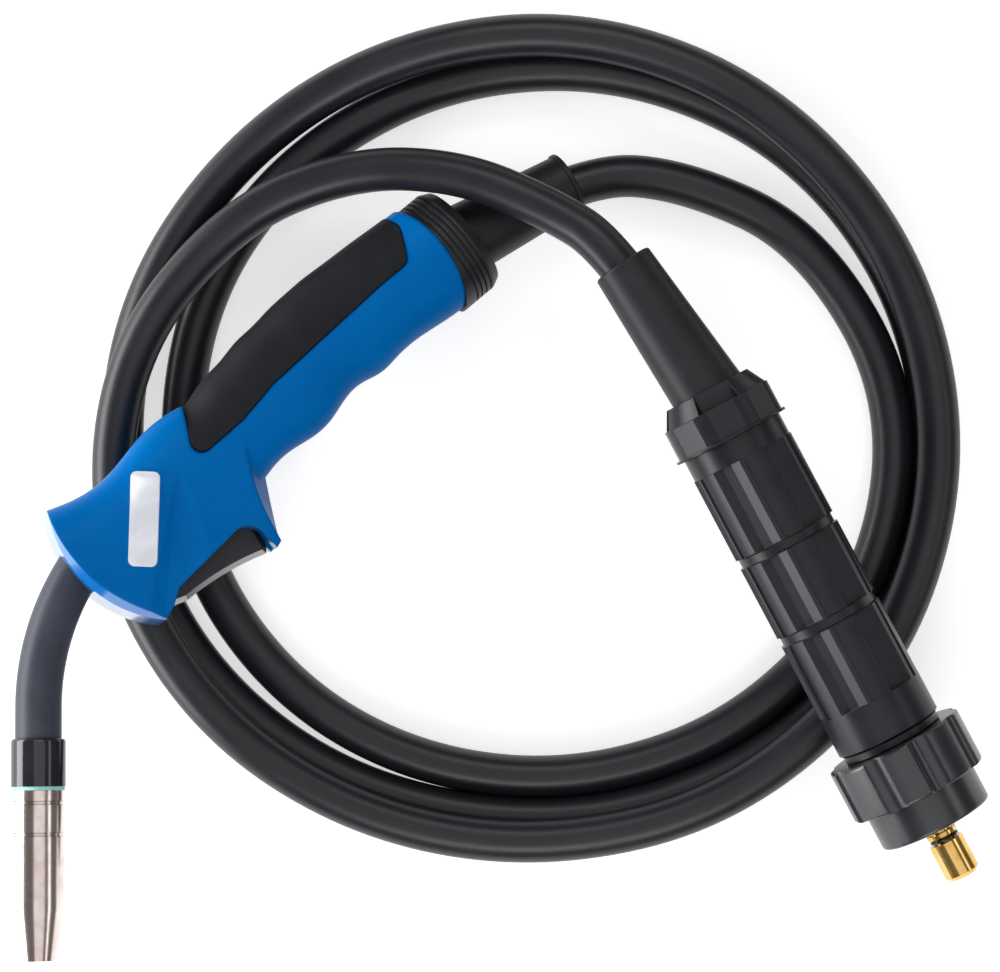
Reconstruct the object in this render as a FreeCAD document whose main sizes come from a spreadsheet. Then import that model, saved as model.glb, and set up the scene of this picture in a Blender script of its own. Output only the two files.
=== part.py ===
"""Welding torch with its coiled coaxial cable and central plug, in millimetres.

The torch lies on its side on the floor, its head resting on the cable. Three local frames carry the
pieces: the handle's, the neck's straight end and the plug's. Every size is a named cell of the sheet.
"""
import FreeCAD, Part
import math
import os

import Sketcher

os.makedirs("parts", exist_ok=True)

Vector = FreeCAD.Vector
Rotation = FreeCAD.Rotation
Placement = FreeCAD.Placement
X_AXIS = Vector(1, 0, 0)
Y_AXIS = Vector(0, 1, 0)
Z_AXIS = Vector(0, 0, 1)

DOC = FreeCAD.newDocument("WeldingTorch")

# Driving sizes, in millimetres and degrees

SIZES = {
    # Where things lie
    "torch_x": 49.7,
    "torch_y": 103.0,
    "torch_heading": -139.65,
    "torch_pitch": 12.0,
    "torch_roll": -2.5,
    "boot_heading": 29.3,
    "boot_drop": 11.0,
    "plug_x": 133.0,
    "plug_y": 52.1,
    "plug_z": 49.8,
    "plug_heading": -62.03,
    "plug_boot_turn": 5.7,
    "plug_boot_rise": 2.0,
    # Clearances
    "seat_gap": 0.1,
    "running_gap": 0.05,
    "free_gap": 0.3,
    # Handle
    "ring_radius": 20.0,
    "ring_length": 12.6,
    "ring_tail": 3.0,
    "ring_tail_radius": 18.6,
    "ring_spigot_radius": 16.4,
    "ring_spigot_length": 6.0,
    "ring_bore_radius": 13.4,
    "ring_groove_depth": 0.8,
    "ring_groove_width": 0.8,
    "ring_groove_pitch": 2.0,
    "shell_wall": 2.8,
    "grip_length": 107.0,
    "head_length": 64.4,
    "grip_rear_half": 19.8,
    "grip_front_half": 16.0,
    "head_rear_half": 15.2,
    "lip_half": 21.0,
    "lip_radius": 42.0,
    "lip_bevel": 6.0,
    "ridge_flank": 6.0,
    "rear_edge_radius": 65.0,
    "rear_edge_x": 8.4,
    "inlay_depth": 1.5,
    "inlay_proud": 0.3,
    "inlay_groove": 0.35,
    "inlay_round": 3.8,
    # Trigger and switch
    "trigger_half": 5.4,
    "trigger_bevel": 1.6,
    "trigger_slot_gap": 0.6,
    "trigger_pin_x": 148.5,
    "trigger_pin_y": 27.0,
    "trigger_pin_radius": 1.5,
    "trigger_pin_half": 8.5,
    "switch_x": 122.0,
    "switch_length": 20.0,
    "switch_height": 10.0,
    "switch_half": 3.2,
    "switch_face_y": 22.5,
    "plunger_x": 128.0,
    "plunger_radius": 1.2,
    "plunger_out": 2.9,
    "plunger_in": 5.0,
    # Handle screws
    "screw_radius": 1.5,
    "screw_head_radius": 2.8,
    "screw_head_height": 1.8,
    "screw_boss_radius": 3.3,
    "screw_length": 17.0,
    "screw_head_depth": 9.0,
    # Swivel and boot
    "ball_radius": 13.3,
    "ball_x": 3.0,
    "ball_end": 9.5,
    "sleeve_radius": 8.6,
    "sleeve_bore_radius": 5.0,
    "sleeve_start": -14.0,
    "sleeve_end": 22.6,
    "boot_length": 47.8,
    "boot_base_radius": 12.3,
    "boot_mouth_radius": 10.4,
    "boot_lip_radius": 11.0,
    "boot_lip_width": 1.6,
    "boot_wall": 2.0,
    # Inside the handle
    "inner_cable_radius": 6.5,
    "nut_start": 84.0,
    "cable_nut_flats": 17.0,
    "block_start": 96.0,
    "block_length": 42.0,
    "block_radius": 10.0,
    "block_gas_bore": 2.5,
    # Neck
    "neck_start": 142.0,
    "neck_bend_radius": 85.0,
    "neck_bend": 50.1,
    "tube_radius": 5.0,
    "tube_bore_radius": 3.2,
    "insulation_radius": 7.55,
    "insulation_end": 12.0,
    "neck_collar_start": 10.1,
    "neck_collar_length": 15.6,
    "neck_collar_radius": 8.9,
    "neck_collar_round": 2.2,
    "seal_length": 1.2,
    "seal_radius": 8.6,
    # Nozzle and tip
    "nozzle_length": 54.8,
    "nozzle_radius": 8.7,
    "nozzle_wall": 1.55,
    "nozzle_tip_radius": 6.1,
    "nozzle_taper": 16.7,
    "nozzle_groove_depth": 0.45,
    "nozzle_groove_width": 1.3,
    "nozzle_groove_first": 3.4,
    "nozzle_groove_second": 13.6,
    "nozzle_seat_length": 14.0,
    "holder_length": 24.0,
    "holder_radius": 4.6,
    "diffuser_length": 12.0,
    "diffuser_hole_radius": 0.9,
    "tip_length": 25.0,
    "tip_radius": 4.0,
    "tip_thread_length": 6.0,
    "tip_thread_radius": 3.0,
    "tip_setback": 2.5,
    "wire_bore_radius": 0.6,
    # Cable
    "cable_radius": 7.25,
    # Plug
    "plug_boot_length": 50.0,
    "plug_boot_base_radius": 12.5,
    "plug_boot_mouth_radius": 10.2,
    "plug_boot_tail": 3.0,
    "crimp_radius": 6.3,
    "crimp_start": -24.0,
    "rear_nut_length": 17.5,
    "rear_nut_radius": 19.2,
    "rear_nut_flat": 18.6,
    "rear_nut_shoulder": 6.2,
    "rear_nut_crown_radius": 15.7,
    "rear_nut_crown_floor": 13.9,
    "rear_nut_rim": 0.8,
    "rear_nut_rim_radius": 20.0,
    "plain_ring_length": 7.5,
    "plain_ring_radius": 17.5,
    "housing_radius": 18.0,
    "housing_wall": 3.0,
    "rib_section_first": 29.3,
    "rib_section_second": 25.5,
    "rib_section_third": 27.5,
    "section_groove_width": 3.4,
    "section_groove_depth": 1.0,
    "section_bevel": 0.8,
    "rib_groove_half": 1.2,
    "rib_groove_depth": 0.5,
    "housing_collar": 14.0,
    "nut_gap": 2.6,
    "lobe_length": 18.4,
    "lobe_radius": 23.4,
    "lobe_round": 1.0,
    "valley_depth": 2.0,
    "valley_cut_radius": 5.2,
    "skirt_length": 12.2,
    "skirt_radius": 19.4,
    "skirt_bore_radius": 17.0,
    "nut_web": 5.0,
    "brass_neck_radius": 11.0,
    "brass_flange_radius": 14.5,
    "brass_flange_length": 4.0,
    "disc_length": 12.0,
    "disc_radius": 13.4,
    "nose_length": 19.4,
    "nose_neck_radius": 4.2,
    "nose_neck_length": 3.1,
    "nose_ring_radius": 5.3,
    "nose_ring_length": 1.2,
    "nose_groove_length": 2.2,
    "nose_radius": 5.95,
    "nose_chamfer": 1.3,
    "nose_bore_radius": 1.6,
    "o_ring_section": 0.45,
    "pin_offset": 9.6,
    "pin_radius": 1.9,
    "pin_out": 6.0,
    "pin_in": 8.0,
}

HELPERS = ("housing_form",)
RIB_COUNT = 6
LOBE_COUNT = 9
VALLEY_TURN = math.radians(13.5)
CROWN_COUNT = 4
FLAT_COUNT = 8
DIFFUSER_HOLES = 6


def fill_sheet():
    """Write every driving size into a spreadsheet cell with its own alias."""
    sheet = DOC.addObject("Spreadsheet::Sheet", "Sizes")
    for row, (name, value) in enumerate(SIZES.items(), start=1):
        sheet.set(f"A{row}", name)
        sheet.set(f"B{row}", str(value))
        sheet.setAlias(f"B{row}", name)
    DOC.recompute()


class Size:
    """A length that carries its value and the sheet expression that gives it."""

    def __init__(self, value, text):
        self.value = value
        self.text = text

    def __add__(self, other):
        other = as_size(other)
        return Size(self.value + other.value, f"({self.text} + {other.text})")

    def __sub__(self, other):
        other = as_size(other)
        return Size(self.value - other.value, f"({self.text} - {other.text})")

    def __mul__(self, factor):
        return Size(self.value * factor, f"({self.text} * {factor})")

    def __neg__(self):
        return Size(-self.value, f"(0 - {self.text})")


def as_size(value):
    """Turn a plain number into a Size, and leave a Size as it is."""
    if isinstance(value, Size):
        return value
    return Size(float(value), str(float(value)))


def size(name):
    """The Size of one named cell."""
    return Size(SIZES[name], f"Sizes.{name}")


# Places along the pieces, each worked out from the sizes above

ZERO = as_size(0)
PLUG_NUT_END = size("rear_nut_length")
PLUG_RIBS_START = PLUG_NUT_END + size("plain_ring_length")
PLUG_FIRST_GROOVE = PLUG_RIBS_START + size("rib_section_first")
PLUG_SECOND_RIBS = PLUG_FIRST_GROOVE + size("section_groove_width")
PLUG_SECOND_GROOVE = PLUG_SECOND_RIBS + size("rib_section_second")
PLUG_THIRD_RIBS = PLUG_SECOND_GROOVE + size("section_groove_width")
PLUG_COLLAR_START = PLUG_THIRD_RIBS + size("rib_section_third")
PLUG_COLLAR_END = PLUG_COLLAR_START + size("housing_collar")
PLUG_LOBES_START = PLUG_COLLAR_END + size("nut_gap")
PLUG_HOUSING_END = PLUG_LOBES_START - size("free_gap")
PLUG_SKIRT_START = PLUG_LOBES_START + size("lobe_length")
PLUG_SKIRT_END = PLUG_SKIRT_START + size("skirt_length")
PLUG_NOSE_END = PLUG_SKIRT_END + size("nose_length")
PLUG_FLANGE_START = PLUG_LOBES_START + size("nut_web") + size("seat_gap")
PLUG_DISC_START = PLUG_FLANGE_START + size("brass_flange_length")
PLUG_DISC_END = PLUG_DISC_START + size("disc_length")

NECK_COLLAR_END = size("neck_collar_start") + size("neck_collar_length")
NOZZLE_START = NECK_COLLAR_END + size("seal_length")
NOZZLE_END = NOZZLE_START + size("nozzle_length")
SEAT_END = NOZZLE_START + size("nozzle_seat_length")
TIP_END = NOZZLE_END - size("tip_setback")
TIP_START = TIP_END - size("tip_length")
TIP_THREAD_START = TIP_START - size("tip_thread_length")
HOLDER_START = TIP_START - size("holder_length")


def frames():
    """The placements of the handle, its boot, the neck's end, the plug and the plug's boot."""
    pitch = SIZES["torch_pitch"]
    lift = SIZES["ring_radius"] * math.cos(math.radians(pitch)) + SIZES["free_gap"] * 0.1
    turn = (
        Rotation(Z_AXIS, SIZES["torch_heading"])
        * Rotation(Y_AXIS, -pitch)
        * Rotation(X_AXIS, SIZES["torch_roll"])
    )
    torch = Placement(Vector(SIZES["torch_x"], SIZES["torch_y"], lift), turn)
    boot_turn = Rotation(Z_AXIS, SIZES["boot_heading"]) * Rotation(Y_AXIS, SIZES["boot_drop"])
    boot = Placement(torch.multVec(Vector(SIZES["ball_x"], 0, 0)), boot_turn)
    bend = math.radians(SIZES["neck_bend"])
    bend_radius = SIZES["neck_bend_radius"]
    bend_end = Vector(
        SIZES["neck_start"] + bend_radius * math.sin(bend), bend_radius * (1 - math.cos(bend)), 0
    )
    neck = torch * Placement(bend_end, Rotation(Z_AXIS, SIZES["neck_bend"]))
    plug_base = Vector(SIZES["plug_x"], SIZES["plug_y"], SIZES["plug_z"])
    plug = Placement(plug_base, Rotation(Z_AXIS, SIZES["plug_heading"]))
    boot_heading = SIZES["plug_heading"] + SIZES["plug_boot_turn"]
    plug_boot_turn = Rotation(Z_AXIS, boot_heading) * Rotation(Y_AXIS, -SIZES["plug_boot_rise"])
    plug_boot = Placement(plug_base, plug_boot_turn)
    return torch, boot, neck, plug, plug_boot


TORCH, BOOT, NECK, PLUG, PLUG_BOOT = frames()


# Sketch helpers

def plane_sketch(body, role, name, along=None):
    """Add a sketch to one of the body's own origin planes, moved along its normal."""
    sketch = body.newObject("Sketcher::SketchObject", name)
    plane = [item for item in body.Origin.OriginFeatures if item.Role == role][0]
    sketch.AttachmentSupport = [(plane, "")]
    sketch.MapMode = "FlatFace"
    if along is not None:
        sketch.AttachmentOffset = Placement(Vector(0, 0, along.value), Rotation())
        sketch.setExpression("AttachmentOffset.Base.z", along.text)
    return sketch


def tie_point(sketch, line, across, up):
    """Tie the start of one line to its two sizes."""
    for kind, axis, length in (("DistanceX", -2, across), ("DistanceY", -1, up)):
        if length.value == 0 and "Sizes" not in length.text:
            sketch.addConstraint(Sketcher.Constraint("PointOnObject", line, 1, axis))
        else:
            index = sketch.addConstraint(
                Sketcher.Constraint(kind, -1, 1, line, 1, length.value)
            )
            sketch.setExpression(f"Constraints[{index}]", length.text)


def draw_outline(sketch, corners):
    """Close a chain of straight lines through corners, each tied to its sizes."""
    corners = [(as_size(across), as_size(up)) for across, up in corners]
    count = len(corners)
    first = sketch.GeometryCount
    for index in range(count):
        start = corners[index]
        end = corners[(index + 1) % count]
        sketch.addGeometry(
            Part.LineSegment(
                Vector(start[0].value, start[1].value, 0), Vector(end[0].value, end[1].value, 0)
            ),
            False,
        )
    for index in range(count):
        following = first + (index + 1) % count
        sketch.addConstraint(Sketcher.Constraint("Coincident", first + index, 2, following, 1))
    for index, corner in enumerate(corners):
        tie_point(sketch, first + index, corner[0], corner[1])


def draw_circle(sketch, across, up, radius):
    """Add a circle whose centre and radius are tied to sizes."""
    across = as_size(across)
    up = as_size(up)
    line = sketch.addGeometry(
        Part.Circle(Vector(across.value, up.value, 0), Z_AXIS, radius.value), False
    )
    index = sketch.addConstraint(Sketcher.Constraint("Radius", line, radius.value))
    sketch.setExpression(f"Constraints[{index}]", radius.text)
    for kind, axis, length in (("DistanceX", -2, across), ("DistanceY", -1, up)):
        if length.value == 0 and "Sizes" not in length.text:
            sketch.addConstraint(Sketcher.Constraint("PointOnObject", line, 3, axis))
        else:
            index = sketch.addConstraint(
                Sketcher.Constraint(kind, -1, 1, line, 3, length.value)
            )
            sketch.setExpression(f"Constraints[{index}]", length.text)


# Feature helpers

def new_body(label, placement):
    """A body at its own placement, with the node's name as its label."""
    body = DOC.addObject("PartDesign::Body", label)
    body.Label = label
    body.Placement = placement
    return body


def turned(label, corners, placement):
    """A body turned about its own X axis from corners given as (along, radius)."""
    body = new_body(label, placement)
    sketch = plane_sketch(body, "XY_Plane", label + "_profile")
    draw_outline(sketch, corners)
    turn = body.newObject("PartDesign::Revolution", label + "_turn")
    turn.Profile = sketch
    turn.ReferenceAxis = (sketch, ["H_Axis"])
    turn.Angle = 360
    body.Tip = turn
    return body


def tube_corners(start, end, inner, outer):
    """The four corners of a plain tube's half section."""
    return [(start, inner), (end, inner), (end, outer), (start, outer)]


def pad(body, name, corners, length, role="XY_Plane", along=None, symmetric=False):
    """Pad a straight-sided outline."""
    sketch = plane_sketch(body, role, name + "_sketch", along)
    draw_outline(sketch, corners)
    return pad_sketch(body, name, sketch, length, symmetric)


def pad_sketch(body, name, sketch, length, symmetric=False):
    """Pad a sketch by a size, or by twice that size about its plane."""
    feature = body.newObject("PartDesign::Pad", name)
    feature.Profile = sketch
    if symmetric:
        length = length * 2
        feature.SideType = "Symmetric"
    feature.Length = length.value
    feature.setExpression("Length", length.text)
    body.Tip = feature
    return feature


def pocket_sketch(body, name, sketch, length, reverse=False, symmetric=False):
    """Cut a sketch out of the body and check that something was cut."""
    DOC.recompute()
    before = body.Shape.Volume
    feature = body.newObject("PartDesign::Pocket", name)
    feature.Profile = sketch
    if symmetric:
        length = length * 2
        feature.SideType = "Symmetric"
    feature.Length = length.value
    feature.setExpression("Length", length.text)
    feature.Reversed = reverse
    body.Tip = feature
    DOC.recompute()
    if body.Shape.Volume >= before:
        raise RuntimeError(f"{name} cuts nothing")
    return feature


def polar(body, name, feature, count):
    """Repeat a feature about the body's X axis."""
    pattern = body.newObject("PartDesign::PolarPattern", name)
    pattern.Originals = [feature]
    axis = [item for item in body.Origin.OriginFeatures if item.Role == "X_Axis"][0]
    pattern.Axis = (axis, [""])
    pattern.Angle = 360
    pattern.Occurrences = count
    body.Tip = pattern
    return pattern


def ring_edges(shape, stations):
    """The names of the circular edges about X at given (along, radius) places."""
    names = []
    for number, edge in enumerate(shape.Edges, start=1):
        if not isinstance(edge.Curve, Part.Circle):
            continue
        for along, radius in stations:
            near = abs(edge.Curve.Center.x - along.value) < 0.01
            if near and abs(edge.Curve.Radius - radius.value) < 0.01:
                names.append(f"Edge{number}")
    return names


def round_rings(body, name, radius, stations):
    """Round circular edges of a turned body."""
    DOC.recompute()
    base = body.Tip
    shape = base.Shape.copy()
    shape.Placement = Placement()
    feature = body.newObject("PartDesign::Fillet", name)
    feature.Base = (base, ring_edges(shape, stations))
    feature.Radius = radius.value
    feature.setExpression("Radius", radius.text)
    body.Tip = feature
    return feature


def plain_feature(label, shape, placement):
    """A feature whose shape is made with modelling functions, with its placement set last."""
    feature = DOC.addObject("Part::Feature", label)
    feature.Label = label
    feature.Shape = shape
    feature.Placement = placement
    return feature


# Handle: a lofted grip and a flared head, in the torch's frame

# Each row: share of the grip's length, back edge, finger edge, both measured from the axis
GRIP_ROWS = [
    (0.01, -20.2, 19.2),
    (0.11, -21.1, 18.8),
    (0.33, -22.1, 16.9),
    (0.45, -22.7, 17.9),
    (0.545, -22.5, 16.3),
    (0.72, -20.8, 20.1),
    (0.86, -18.5, 18.6),
    (1.0, -15.4, 21.0),
    (1.12, -15.8, 22.5),
]
GRIP_TAPER_SHARE = 0.9

# Each row: share of the head's length, back edge, lower edge, share of the way to the lip's half width
HEAD_ROWS = [
    (-0.3, -16.0, 43.0, 0.0),
    (-0.07, -14.6, 43.0, 0.06),
    (0.12, -16.8, 43.0, 0.19),
    (0.36, -15.7, 43.0, 0.42),
    (0.62, -13.2, 43.0, 0.7),
    (0.84, -16.0, 43.0, 0.94),
    (1.08, -20.0, 43.0, 1.1),
]

# The head's outline seen from above: ridge, spur, guard and lip
HEAD_REAR = Vector(90.0, -8.0, 0)
RIDGE_START = Vector(97.0, 1.3, 0)
RIDGE_MIDDLE = Vector(107.1, 18.2, 0)
SPUR_TIP = Vector(112.8, 39.4, 0)
SPUR_FRONT = Vector(114.9, 40.4, 0)
NOTCH_SIDE = Vector(116.0, 34.5, 0)
NOTCH_MIDDLE = Vector(117.4, 29.7, 0)
NOTCH_FLOOR = Vector(121.6, 27.4, 0)
GUARD_FRONT = Vector(148.7, 29.8, 0)
GUARD_END = Vector(153.6, 33.2, 0)
CHIN = Vector(158.6, 35.2, 0)
BEAK = Vector(164.4, -17.6, 0)

# The crease that runs across the head from its middle to the chin
CREASE_START = Vector(124.7, 0.6, 16.9)
CREASE_END = Vector(155.9, 32.2, 16.4)
CREASE_OVERRUN = 25.0

# How far sideways, and how high, the crease's steep wall and its gentle slope run
CREASE_WALL = (9.0, 6.0)
CREASE_SLOPE = (42.0, 3.6)

# The inlay's long edge, from the rear to the head, before its corners are rounded
INLAY_EDGE = [
    Vector(14.6, -30.0, 0),
    Vector(14.6, -15.4, 0),
    Vector(21.4, -4.0, 0),
    Vector(34.0, -4.0, 0),
    Vector(81.7, -1.5, 0),
    Vector(97.0, 1.2, 0),
    Vector(119.3, 1.9, 0),
    Vector(107.6, -17.0, 0),
    Vector(107.6, -30.0, 0),
]

# Where the trigger's slot starts, and its length
TRIGGER_SLOT_X = 114.4
TRIGGER_SLOT_LENGTH = 39.5

SECTION_POINTS = 20
STATION_COUNT = 16


def superellipse(along, low, high, half, power):
    """A closed smooth section square to X, between two edges in Y and a half width in Z."""
    middle = (low + high) / 2
    reach = (high - low) / 2
    points = []
    for step in range(SECTION_POINTS):
        angle = 2 * math.pi * step / SECTION_POINTS
        cosine = math.cos(angle)
        sine = math.sin(angle)
        across = math.copysign(abs(cosine) ** (2 / power), cosine)
        up = math.copysign(abs(sine) ** (2 / power), sine)
        points.append(Vector(along, middle + reach * across, half * up))
    curve = Part.BSplineCurve()
    curve.interpolate(Points=points, PeriodicFlag=True)
    return Part.Wire([curve.toShape()])


def edge_at(share, column):
    """An edge of the grip between its rows, eased so that it has no corner."""
    for low, high in zip(GRIP_ROWS[:-1], GRIP_ROWS[1:]):
        if share <= high[0]:
            break
    step = (share - low[0]) / (high[0] - low[0])
    eased = step * step * (3 - 2 * step)
    return low[column] + eased * (high[column] - low[column])


def grip_form(offset):
    """The grip's solid, grown or shrunk all round by an offset."""
    length = SIZES["grip_length"]
    wires = []
    first = GRIP_ROWS[0][0]
    last = GRIP_ROWS[-1][0]
    for number in range(STATION_COUNT):
        share = first + (last - first) * number / (STATION_COUNT - 1)
        back = edge_at(share, 1) - offset
        finger = edge_at(share, 2) + offset
        taper = min(share / GRIP_TAPER_SHARE, 1)
        half = SIZES["grip_rear_half"] + taper * (SIZES["grip_front_half"] - SIZES["grip_rear_half"])
        wires.append(superellipse(share * length, back, finger, half + offset, 2.25))
    return Part.makeLoft(wires, True, False)


def head_form():
    """The head's flared solid, before its outline and its creases are cut."""
    start = SIZES["grip_length"]
    length = SIZES["head_length"]
    rear = SIZES["head_rear_half"]
    wires = []
    for share, back, low, flare in HEAD_ROWS:
        half = rear + flare * (SIZES["lip_half"] - rear)
        wires.append(superellipse(start + share * length, back, low, half, 3.2))
    return Part.makeLoft(wires, True, False)


def arc_through(start, end, radius, side):
    """The arc between two points with a radius, bulging to one side."""
    middle = (start + end) * 0.5
    chord = end - start
    half = chord.Length / 2
    rise = radius - math.sqrt(radius * radius - half * half)
    normal = Vector(-chord.y, chord.x, 0).normalize() * side
    return Part.Arc(start, middle + normal * rise, end).toShape()


def head_outline(setback, flank, level):
    """The head's closed outline at a level, with the lip set back and the ridge moved out."""
    out = Vector(-0.91, 0.41, 0)
    start = RIDGE_START + out * flank
    middle = RIDGE_MIDDLE + out * flank
    tip = SPUR_TIP + out * (0.2 * flank)
    beak = BEAK
    chin = CHIN + Vector(-setback * 0.55, -setback * 0.25, 0)
    edges = [
        Part.Arc(start, middle, tip).toShape(),
        Part.LineSegment(tip, SPUR_FRONT).toShape(),
        Part.LineSegment(SPUR_FRONT, NOTCH_SIDE).toShape(),
        Part.Arc(NOTCH_SIDE, NOTCH_MIDDLE, NOTCH_FLOOR).toShape(),
        Part.LineSegment(NOTCH_FLOOR, GUARD_FRONT).toShape(),
        Part.LineSegment(GUARD_FRONT, GUARD_END).toShape(),
        Part.LineSegment(GUARD_END, chin).toShape(),
        arc_through(chin, beak, SIZES["lip_radius"] + setback, 1),
    ]
    back = [beak, Vector(beak.x - 2, -32, 0), Vector(HEAD_REAR.x, -32, 0), HEAD_REAR, start]
    for first, second in zip(back[:-1], back[1:]):
        edges.append(Part.LineSegment(first, second).toShape())
    wire = Part.Wire(edges)
    wire.translate(Vector(0, 0, level))
    return wire


def head_prism():
    """The solid inside the head's outline: its ridge leans in and its lip is bevelled."""
    bevel = SIZES["lip_bevel"]
    edge = SIZES["lip_half"] - bevel
    levels = [
        head_outline(0, SIZES["ridge_flank"], 0),
        head_outline(0, 0, edge),
        head_outline(bevel, 0, edge + 1.8 * bevel),
    ]
    top = Part.makeLoft(levels, True, True)
    return top.fuse(top.mirror(Vector(0, 0, 0), Z_AXIS))


def crease_cutter(side):
    """A wedge that leaves a steep wall on the lip's side of the crease and a gentle one behind."""
    length = (CREASE_END - CREASE_START).Length + 2 * CREASE_OVERRUN
    along = (CREASE_END - CREASE_START).normalize()
    across = Vector(along.y, -along.x, 0).normalize()
    bottom = CREASE_START - along * CREASE_OVERRUN
    wall = bottom + across * CREASE_WALL[0] + Z_AXIS * CREASE_WALL[1]
    slope = bottom - across * CREASE_SLOPE[0] + Z_AXIS * CREASE_SLOPE[1]
    above = Z_AXIS * (2 * CREASE_WALL[1])
    corners = [bottom, wall, wall + above, slope + above, slope, bottom]
    wedge = Part.Face(Part.makePolygon(corners)).extrude(along * length)
    if side < 0:
        wedge = wedge.mirror(Vector(0, 0, 0), Z_AXIS)
    return wedge


def rear_edge_cutter(gap):
    """The round front of the end ring, which the shell's rear edge follows."""
    radius = SIZES["rear_edge_radius"] + gap
    centre = Vector(SIZES["rear_edge_x"] - gap + radius, -4, -40)
    rim = Part.makeCylinder(radius, 80, centre, Z_AXIS)
    front = Part.makeBox(200, 120, 80, Vector(SIZES["ring_length"] - gap, -60, -40))
    return rim.fuse(front)


def screw_places():
    """Where the three handle screws stand, in the torch's frame."""
    return [Vector(28, -12.3, 0), Vector(74, 12.6, 0), Vector(150, 14.6, 0)]


def inlay_prism(shrink):
    """The solid that bounds the grip inlay, its corners rounded, drawn in by a shrink."""
    corner = SIZES["inlay_round"]
    wire = Part.makePolygon(INLAY_EDGE + [INLAY_EDGE[0]])
    inner = wire.makeOffset2D(-(corner + shrink), join=2)
    face = Part.Face(inner.makeOffset2D(corner, join=0))
    face.translate(Vector(0, 0, -40))
    return face.extrude(Vector(0, 0, 80))


def half_space(side):
    """A big box above or below the handle's parting plane."""
    if side > 0:
        return Part.makeBox(300, 200, 60, Vector(-20, -100, 0))
    return Part.makeBox(300, 200, 60, Vector(-20, -100, -60))


def neck_path_solid(radius, start, tail):
    """A round bar along the neck: a straight, the bend and a straight."""
    bend = math.radians(SIZES["neck_bend"])
    bend_radius = SIZES["neck_bend_radius"]
    first = Vector(SIZES["neck_start"], 0, 0)
    centre = Vector(first.x, bend_radius, 0)
    middle = centre + Vector(math.sin(bend / 2), -math.cos(bend / 2), 0) * bend_radius
    last = centre + Vector(math.sin(bend), -math.cos(bend), 0) * bend_radius
    end = last + Vector(math.cos(bend), math.sin(bend), 0) * tail
    path = Part.Wire(
        [
            Part.LineSegment(Vector(start, 0, 0), first).toShape(),
            Part.Arc(first, middle, last).toShape(),
            Part.LineSegment(last, end).toShape(),
        ]
    )
    circle = Part.Circle(Vector(start, 0, 0), X_AXIS, radius).toShape()
    return path.makePipeShell([Part.Wire([circle])], True, True)


def trigger_outline():
    """The trigger's closed outline."""
    rear_top = Vector(116.8, 26.0, 0)
    rear_low = Vector(115.6, 33.2, 0)
    heel_rear = Vector(116.3, 37.6, 0)
    heel = Vector(117.9, 39.6, 0)
    front_low = Vector(147.8, 34.8, 0)
    front_tip = Vector(152.2, 33.3, 0)
    front_top = Vector(151.2, 24.4, 0)
    inner_front = Vector(145.6, 24.4, 0)
    inner_rear = Vector(140.5, 26.0, 0)
    edges = [
        Part.LineSegment(rear_top, rear_low).toShape(),
        Part.LineSegment(rear_low, heel_rear).toShape(),
        Part.LineSegment(heel_rear, heel).toShape(),
        arc_through(heel, front_low, 95.0, -1),
        Part.LineSegment(front_low, front_tip).toShape(),
        Part.LineSegment(front_tip, front_top).toShape(),
        Part.LineSegment(front_top, inner_front).toShape(),
        Part.LineSegment(inner_front, inner_rear).toShape(),
        Part.LineSegment(inner_rear, rear_top).toShape(),
    ]
    return Part.Wire(edges)


def shell_cavities():
    """Everything that is hollow inside the handle."""
    wall = SIZES["shell_wall"]
    gap = SIZES["seat_gap"]
    block_start = SIZES["block_start"]
    room_start = SIZES["ring_length"] + SIZES["ring_spigot_length"]
    room = Part.makeBox(block_start - 2 - room_start, 100, 80, Vector(room_start, -50, -40))
    hollow = grip_form(-wall).common(room)
    block_bore = Part.makeCylinder(
        SIZES["block_radius"] + gap, SIZES["block_length"] + 4.2, Vector(block_start - 4, 0, 0), X_AXIS
    )
    spigot_end = SIZES["ring_length"] + SIZES["ring_spigot_length"] + gap
    spigot = Part.makeCylinder(SIZES["ring_spigot_radius"] + gap, spigot_end, Vector(0, 0, 0), X_AXIS)
    neck_bore = neck_path_solid(SIZES["insulation_radius"] + gap, SIZES["neck_start"] - 8, 5)
    half = SIZES["trigger_half"] + SIZES["trigger_slot_gap"]
    slot_floor = SIZES["switch_face_y"] - SIZES["trigger_slot_gap"]
    slot = Part.makeBox(TRIGGER_SLOT_LENGTH, 30, 2 * half, Vector(TRIGGER_SLOT_X, slot_floor, -half))
    switch_half = SIZES["switch_half"] + gap
    switch = Part.makeBox(
        SIZES["switch_length"] + 2 * gap,
        SIZES["switch_height"] + gap,
        2 * switch_half,
        Vector(
            SIZES["switch_x"] - gap,
            SIZES["switch_face_y"] - SIZES["switch_height"] - gap,
            -switch_half,
        ),
    )
    pin_reach = SIZES["trigger_pin_half"] + gap
    pin = Part.makeCylinder(
        SIZES["trigger_pin_radius"] + SIZES["running_gap"],
        2 * pin_reach,
        Vector(SIZES["trigger_pin_x"], SIZES["trigger_pin_y"], -pin_reach),
        Z_AXIS,
    )
    return [hollow, block_bore, spigot, neck_bore, slot, switch, pin]


def screw_holes():
    """The holes for the shell screws: a counterbore from below and a pilot above."""
    holes = []
    depth = SIZES["screw_head_depth"]
    for place in screw_places():
        shank = Part.makeCylinder(
            SIZES["screw_radius"] + SIZES["seat_gap"],
            SIZES["screw_length"] + 0.5,
            place + Vector(0, 0, -depth),
            Z_AXIS,
        )
        head = Part.makeCylinder(
            SIZES["screw_head_radius"] + SIZES["free_gap"],
            30,
            place + Vector(0, 0, -depth - 30 + SIZES["screw_head_height"]),
            Z_AXIS,
        )
        holes += [shank, head]
    return holes


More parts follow.
